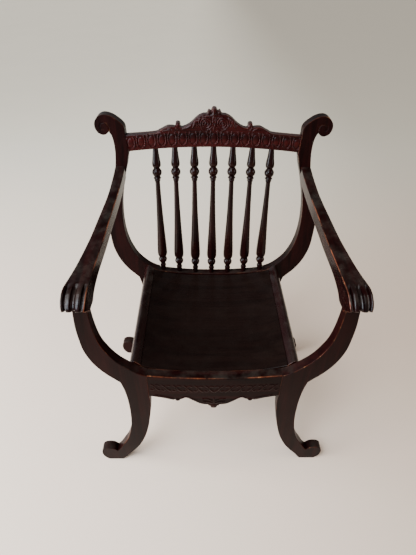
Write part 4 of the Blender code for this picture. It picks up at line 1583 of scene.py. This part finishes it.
@dataclass
class Arms:
    """The two arms, each lofted from the back post to a fluted knuckle in front of its board."""

    datum: Datum
    bench: Bench
    stations: tuple[tuple[float, float, float, float, float], ...] = (
        (-0.0316, 0.2820, 0.3295, 0.6655, 0.6685), (-0.0285, 0.281, 0.3315, 0.6620, 0.6732),
        (-0.019, 0.2798, 0.3328, 0.6550, 0.6825), (-0.007, 0.2792, 0.3330, 0.6465, 0.6900),
        (0.0, 0.2790, 0.3330, 0.6403, 0.6930), (0.015, 0.279, 0.3325, 0.6403, 0.6954),
        (0.033, 0.279, 0.330, 0.6403, 0.6955),
        (0.055, 0.2785, 0.3255, 0.652, 0.697), (0.100, 0.276, 0.3170, 0.665, 0.702),
        (0.180, 0.271, 0.3055, 0.676, 0.712), (0.250, 0.2665, 0.2965, 0.689, 0.7255),
        (0.340, 0.2595, 0.2860, 0.707, 0.743), (0.420, 0.2560, 0.2835, 0.722, 0.757),
        (0.470, 0.2550, 0.2830, 0.733, 0.768))
    nose: Point2 = (-0.0319, 0.6667)
    hub: Point2 = (0.014, 0.660)
    arris: float = 0.0020
    steps: int = 6
    flute_depth: float = 0.0072
    flute_end: float = 0.032
    flute_fade: float = 0.014
    flute_shares: tuple[tuple[float, float, float], ...] = ((0.150, 0.048, 0.95), (0.5, 0.120, 1.0),
                                                            (0.850, 0.048, 0.95))
    shoulder: float = 0.075
    shoulder_depth: float = 0.60
    nose_height: float = 0.014
    under_flute: tuple[float, float] = (-0.001, 0.006)
    under_crown: tuple[float, float] = (-0.019, 0.0126)
    crown: float = 0.0008
    outer_wear_loss: float = 0.7
    crease: float = 50.0

    def rail_of(self, column: int) -> np.ndarray:
        """Return a station value smoothed along the arm, from the nose to the post.

        Args:
            column: Which value of the stations.

        Returns:
            Rows of depth and value.
        """
        pairs = [(station[0], station[column]) for station in self.stations]
        return np.array(smooth_run(pairs, self.steps) + [pairs[-1]])

    def flutes(self, share: np.ndarray) -> np.ndarray:
        """Return how deep the flutes are across the knuckle, from 0 to 1.

        Args:
            share: Places across the knuckle, from its inner to its outer side.

        Returns:
            The depth at each place.
        """
        depth = np.zeros_like(share)
        for centre, half, strength in self.flute_shares:
            inside = np.clip(1.0 - ((share - centre) / half) ** 2, 0.0, 1.0)
            slope = np.clip(1.0 - np.abs(share - centre) / (half + self.shoulder), 0.0, 1.0)
            flute = np.maximum(np.sqrt(inside), self.shoulder_depth * slope ** 2)
            depth = np.maximum(depth, strength * flute)
        return depth

    def across(self) -> tuple[np.ndarray, np.ndarray]:
        """Return the places across the arm and the fall of its rounded arrises there.

        Returns:
            Shares from 0 to 1, and an angle for each: 0 at the side, 90 degrees on the top.
        """
        turns = np.linspace(0.0, math.pi / 2.0, 7)
        flat = np.linspace(0.0, 1.0, 47)[1:-1]
        return np.concatenate([np.zeros(7), flat, np.ones(7)]), np.concatenate(
            [turns, np.full(flat.shape, math.pi / 2.0), turns[::-1]])

    def build_one(self, side: Side) -> bmesh.types.BMesh:
        """Loft one arm.

        Args:
            side: Which arm.

        Returns:
            The arm's mesh.
        """
        inner, outer, low, high = (self.rail_of(column) for column in (1, 2, 3, 4))
        line_y = np.concatenate([high[::-1, 0], [self.nose[0]], low[:, 0]])
        line_z = np.concatenate([high[::-1, 1], [self.nose[1]], low[:, 1]])
        inner_x = np.concatenate([inner[::-1, 1], [inner[0, 1]], inner[:, 1]])
        outer_x = np.concatenate([outer[::-1, 1], [outer[0, 1]], outer[:, 1]])
        along = np.stack([np.gradient(line_y), np.gradient(line_z)], axis=1)
        along /= np.linalg.norm(along, axis=1)[:, None]
        out_y, out_z = along[:, 1], -along[:, 0]
        share, turn = self.across()
        height = np.concatenate([high[::-1, 1] - low[::-1, 1], [self.nose_height], high[:, 1] - low[:, 1]])
        arris = np.minimum(self.arris, 0.42 * np.maximum(height, 0.012))[:, None]
        left = inner_x[:, None] + arris * (1.0 - np.cos(turn))[None, :]
        right = outer_x[:, None] - arris * (1.0 - np.cos(turn))[None, :]
        inside = inner_x[:, None] + arris
        span = outer_x[:, None] - arris - inside
        x = np.where(share[None, :] <= 0.0, left, np.where(share[None, :] >= 1.0, right,
                                                          inside + span * share[None, :]))
        width_share = (x - inner_x[:, None]) / (outer_x - inner_x)[:, None]
        fade = np.clip((self.flute_end - line_y) / self.flute_fade, 0.0, 1.0)
        fade = fade * fade * (3.0 - 2.0 * fade)
        underside = np.arange(len(line_y)) > len(high)
        under = self.forward(line_y, underside, self.under_flute)
        groove = self.flutes(width_share) * (fade * under)[:, None] * self.flute_depth
        hub_y, hub_z = line_y - self.hub[0], line_z - self.hub[1]
        reach = np.hypot(hub_y, hub_z)
        above = self.forward(line_y, underside, self.under_crown)[:, None]
        crown = self.crown * above * (2.0 * width_share - 1.0) ** 2
        sink = arris * (1.0 - np.sin(turn))[None, :] + crown
        y = self.datum.front_face + line_y[:, None] - out_y[:, None] * sink
        y -= (hub_y / reach)[:, None] * groove
        z = line_z[:, None] - out_z[:, None] * sink - (hub_z / reach)[:, None] * groove
        at_post = self.datum.back_face - self.datum.gap
        for end in (0, -1):
            y[end] = at_post + np.array([self.datum.rake(height) for height in z[end]])
        worn = np.clip(1.0 - np.abs(turn - math.pi / 4.0) / (math.pi / 4.0), 0.0, 1.0)[None, :]
        worn = np.clip(worn * (1.0 - self.outer_wear_loss * width_share), 0.0, 1.0)
        return self.skin(side, x, y, z, worn)

    @staticmethod
    def forward(line_y: np.ndarray, underside: np.ndarray, fade: tuple[float, float]) -> np.ndarray:
        """Return 1 on the arm's top, and on its underside a share that grows towards the nose.

        Args:
            line_y: Depths along the arm's outline.
            underside: Which of them are on the underside.
            fade: Where the share starts to grow, and the length over which it reaches 1.

        Returns:
            The share at each place.
        """
        start, length = fade
        return np.where(underside, np.clip((start - line_y) / length, 0.0, 1.0), 1.0)

    @staticmethod
    def skin(side: Side, x: np.ndarray, y: np.ndarray, z: np.ndarray, worn: np.ndarray) -> bmesh.types.BMesh:
        """Join the arm's rows, its two sides and its end.

        Args:
            side: Which arm.
            x: Places of the skin's points across the arm.
            y: Their depths.
            z: Their heights.
            worn: How worn each point is.

        Returns:
            The closed mesh.
        """
        mesh = bmesh.new()
        layer = mesh.verts.layers.float.new(WORN)
        rows = []
        for row in zip(x, y, z, worn):
            verts = []
            for px, py, pz, mark in zip(*row):
                vert = mesh.verts.new((side.value * px, py, pz))
                vert[layer] = float(mark)
                verts.append(vert)
            rows.append(verts)
        for upper, lower in zip(rows, rows[1:]):
            for step in range(len(upper) - 1):
                mesh.faces.new((upper[step], upper[step + 1], lower[step + 1], lower[step]))
        last = len(rows) - 1
        for step in range(last // 2):
            for column in (0, -1):
                quad = [rows[step][column], rows[step + 1][column], rows[last - step - 1][column],
                        rows[last - step][column]]
                mesh.faces.new(list(dict.fromkeys(quad)))
        mesh.faces.new(rows[0] + rows[-1][::-1])
        bmesh.ops.recalc_face_normals(mesh, faces=mesh.faces[:])
        return mesh

    def build(self) -> None:
        """Make both arms."""
        for side in Side:
            self.bench.place(self.build_one(side), f"arm_{side.word}", ARM_LACQUER, crease=self.crease)


# ---------------------------------------------------------------------------------------------------------
# Seat and hidden joinery
# ---------------------------------------------------------------------------------------------------------


@dataclass
class Seat:
    """The dished seat panel and the two side rails that hold it."""

    datum: Datum
    bench: Bench
    front: float = 0.0273
    back: float = 0.4347
    panel_half: float = 0.190
    panel_middle: float = 0.397
    panel_rise: float = 0.0235
    panel_thickness: float = 0.012
    panel_edge: float = 0.0018
    rail_edge: float = 0.0012
    clearance: float = 0.0006
    ledge: float = 0.1765
    low: float = 0.352
    shoulder: tuple[Point2, ...] = ((0.2205, 0.4205), (0.2194, 0.4258), (0.2168, 0.4306), (0.2130, 0.4345),
                                    (0.2085, 0.4365), (0.2040, 0.4352), (0.1975, 0.4290), (0.1905, 0.4215))

    def top_at(self, x: float) -> float:
        """Return the height of the dished panel at a distance from the middle plane."""
        return self.panel_middle + self.panel_rise * (abs(x) / self.panel_half) ** 3

    def panel_outline(self, steps: int = 60) -> list[Point2]:
        """Return the section of the dished panel.

        Args:
            steps: Number of spans across it.

        Returns:
            The section's points.
        """
        places = [self.panel_half * (1.0 - 2.0 * step / steps) for step in range(steps + 1)]
        top = [(x, self.top_at(x)) for x in places]
        return top + [(x, z - self.panel_thickness) for x, z in reversed(top)]

    def rail_outline(self) -> list[Point2]:
        """Return the section of a side rail, rebated for the panel.

        Returns:
            The section's points.
        """
        wall = self.shoulder[-1][0]
        clear = self.panel_thickness + self.clearance
        return [(self.shoulder[0][0], self.low), *smooth_run(self.shoulder, 4), self.shoulder[-1],
                (wall, self.top_at(self.panel_half) - clear), (self.ledge, self.top_at(self.ledge) - clear),
                (self.ledge, self.low)]

    def build(self) -> None:
        """Make the panel and both rails."""
        panel = Board(self.panel_outline(), self.front, self.back, self.panel_edge)
        self.bench.place(panel.build(self.datum), "seat_panel", SEAT_LACQUER, Slot.SEAT)
        for side in Side:
            rail = Board(self.rail_outline(), self.front, self.back, self.rail_edge, side)
            self.bench.place(rail.build(self.datum), f"seat_side_rail_{side.word}", SIDE_RAIL_LACQUER)


@dataclass(frozen=True)
class HiddenJoinery:
    """Dowels, screws and corner blocks, which keep the frame's own shapes."""

    nodes: dict[str, bpy.types.Object]

    def dress(self) -> None:
        """Give every carried-over node its finish."""
        for name, node in self.nodes.items():
            if node.hide_render:
                continue
            finish = SCREW_STEEL if "screw" in name else BEECH
            for holder in node.material_slots:
                holder.material = finish.material()
            LOG.info("%s: %s", name, finish.name)


# ---------------------------------------------------------------------------------------------------------
# Studio
# ---------------------------------------------------------------------------------------------------------


@dataclass(frozen=True)
class SoftLight:
    """A large soft lamp."""

    name: str
    place: tuple[float, float, float]
    aim: tuple[float, float, float]
    size: tuple[float, float]
    power: float
    colour: tuple[float, float, float]

    def hang(self) -> None:
        """Put the lamp in the scene."""
        lamp = bpy.data.lights.new(self.name, "AREA")
        lamp.shape = "RECTANGLE"
        lamp.size, lamp.size_y = self.size
        lamp.energy = self.power
        lamp.color = self.colour
        holder = bpy.data.objects.new(self.name, lamp)
        holder.location = self.place
        direction = Vector(self.aim) - Vector(self.place)
        holder.rotation_euler = direction.to_track_quat("-Z", "Y").to_euler()
        bpy.context.scene.collection.objects.link(holder)


@dataclass(frozen=True)
class Studio:
    """The floor, the soft light and the camera."""

    datum: Datum
    lights: tuple[SoftLight, ...] = (
        SoftLight("window_left", (-2.3, -0.5, 0.85), (0.0, 0.1, 0.5), (1.5, 1.6), 140.0, (0.88, 0.94, 1.0)),
        SoftLight("window_front", (-0.85, -1.20, 2.00), (-0.3, -0.3, 0.68), (0.9, 1.1), 48.0,
                  (0.76, 0.87, 1.0)),
        SoftLight("fill_right", (2.4, -0.4, 1.3), (0.0, 0.1, 0.5), (1.5, 1.6), 36.0, (1.0, 0.92, 0.84)),
    )
    daylight: float = 2.8
    daylight_spread: float = 50.0
    daylight_from: tuple[float, float, float] = (-0.55, -0.25, 1.0)
    daylight_colour: tuple[float, float, float] = (1.0, 0.975, 0.94)
    wall_left: tuple[float, float, float] = (0.62, 0.66, 0.70)
    wall_right: tuple[float, float, float] = (0.26, 0.23, 0.20)
    ceiling: tuple[float, float, float] = (0.030, 0.028, 0.026)
    wall_top: tuple[float, float] = (0.42, 0.80)
    floor_half: float = 30.0
    floor_height: float = -0.0002
    camera_place: tuple[float, float, float] = (-0.0371, -0.673, 1.278)
    pitch: float = 38.88
    yaw: float = -1.33
    roll: float = 0.93
    lens: float = 27.166

    def lay_floor(self) -> None:
        """Lay the floor."""
        mesh = bmesh.new()
        half = self.floor_half
        corners = [(-half, -half), (half, -half), (half, half), (-half, half)]
        mesh.faces.new([mesh.verts.new((x, y, self.floor_height)) for x, y in corners])
        data = bpy.data.meshes.new("floor")
        mesh.to_mesh(data)
        mesh.free()
        data.materials.append(FLOOR.material())
        floor = bpy.data.objects.new("floor", data)
        bpy.context.scene.collection.objects.link(floor)

    def light_room(self) -> None:
        """Light the room: pale walls under a dark ceiling, the lamps and the daylight."""
        world = bpy.data.worlds.new("studio_room")
        world.use_nodes = True
        kit = NodeKit(world.node_tree)
        way = kit.add("ShaderNodeSeparateXYZ")
        kit.join(kit.add("ShaderNodeTexCoord").outputs["Generated"], way.inputs[0])
        walls = kit.blend(kit.ramp(way.outputs["X"], -0.8, 0.8), self.wall_left, self.wall_right)
        height = kit.ramp(way.outputs["Z"], *self.wall_top)
        kit.join(kit.blend(height, walls, self.ceiling), world.node_tree.nodes["Background"].inputs["Color"])
        bpy.context.scene.world = world
        for light in self.lights:
            light.hang()
        sky = bpy.data.lights.new("daylight", "SUN")
        sky.energy = self.daylight
        sky.angle = math.radians(self.daylight_spread)
        sky.color = self.daylight_colour
        holder = bpy.data.objects.new("daylight", sky)
        holder.rotation_euler = Vector(self.daylight_from).to_track_quat("Z", "Y").to_euler()
        bpy.context.scene.collection.objects.link(holder)

    def set_camera(self) -> None:
        """Put the camera in front of the chair, a little to its left, looking down at the seat."""
        pitch, yaw, roll = (math.radians(angle) for angle in (self.pitch, self.yaw, self.roll))
        ahead = Vector((-math.sin(yaw) * math.cos(pitch), math.cos(yaw) * math.cos(pitch), -math.sin(pitch)))
        level = Vector((math.cos(yaw), math.sin(yaw), 0.0))
        above = Vector((-math.sin(yaw) * math.sin(pitch), math.cos(yaw) * math.sin(pitch), math.cos(pitch)))
        right = math.cos(roll) * level + math.sin(roll) * above
        up = math.cos(roll) * above - math.sin(roll) * level
        camera = bpy.data.objects.new("camera", bpy.data.cameras.new("camera"))
        camera.data.lens = self.lens
        camera.data.sensor_width = 36.0
        camera.data.sensor_fit = "AUTO"
        camera.data.clip_end = 100.0
        turn = Matrix((right, up, -ahead)).transposed().to_4x4()
        x, y, z = self.camera_place
        camera.matrix_world = Matrix.Translation((x, self.datum.front_face + y, z)) @ turn
        bpy.context.scene.collection.objects.link(camera)
        bpy.context.scene.camera = camera

    def build(self) -> None:
        """Make the whole studio."""
        self.set_camera()
        self.lay_floor()
        self.light_room()


def main() -> None:
    """Load the frame and dress the chair."""
    logging.basicConfig(level=logging.INFO, format="%(name)s: %(message)s")
    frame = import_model()
    datum = Datum.from_frame()
    bench = Bench()
    Studio(datum).build()
    FrontLegs(datum, bench).build()
    FrontRail(datum, bench).build()
    BackPosts(datum, bench).build()
    back_rail = BackRail(datum, bench)
    back_rail.build()
    crest = CrestRail(datum, bench)
    crest.build()
    Spindles(datum, bench, back_rail, crest).build()
    Arms(datum, bench).build()
    Seat(datum, bench).build()
    HiddenJoinery(frame["nodes"]).dress()
    LOG.info("%d pieces dressed", len(bench.made))


if __name__ == "__main__":
    main()
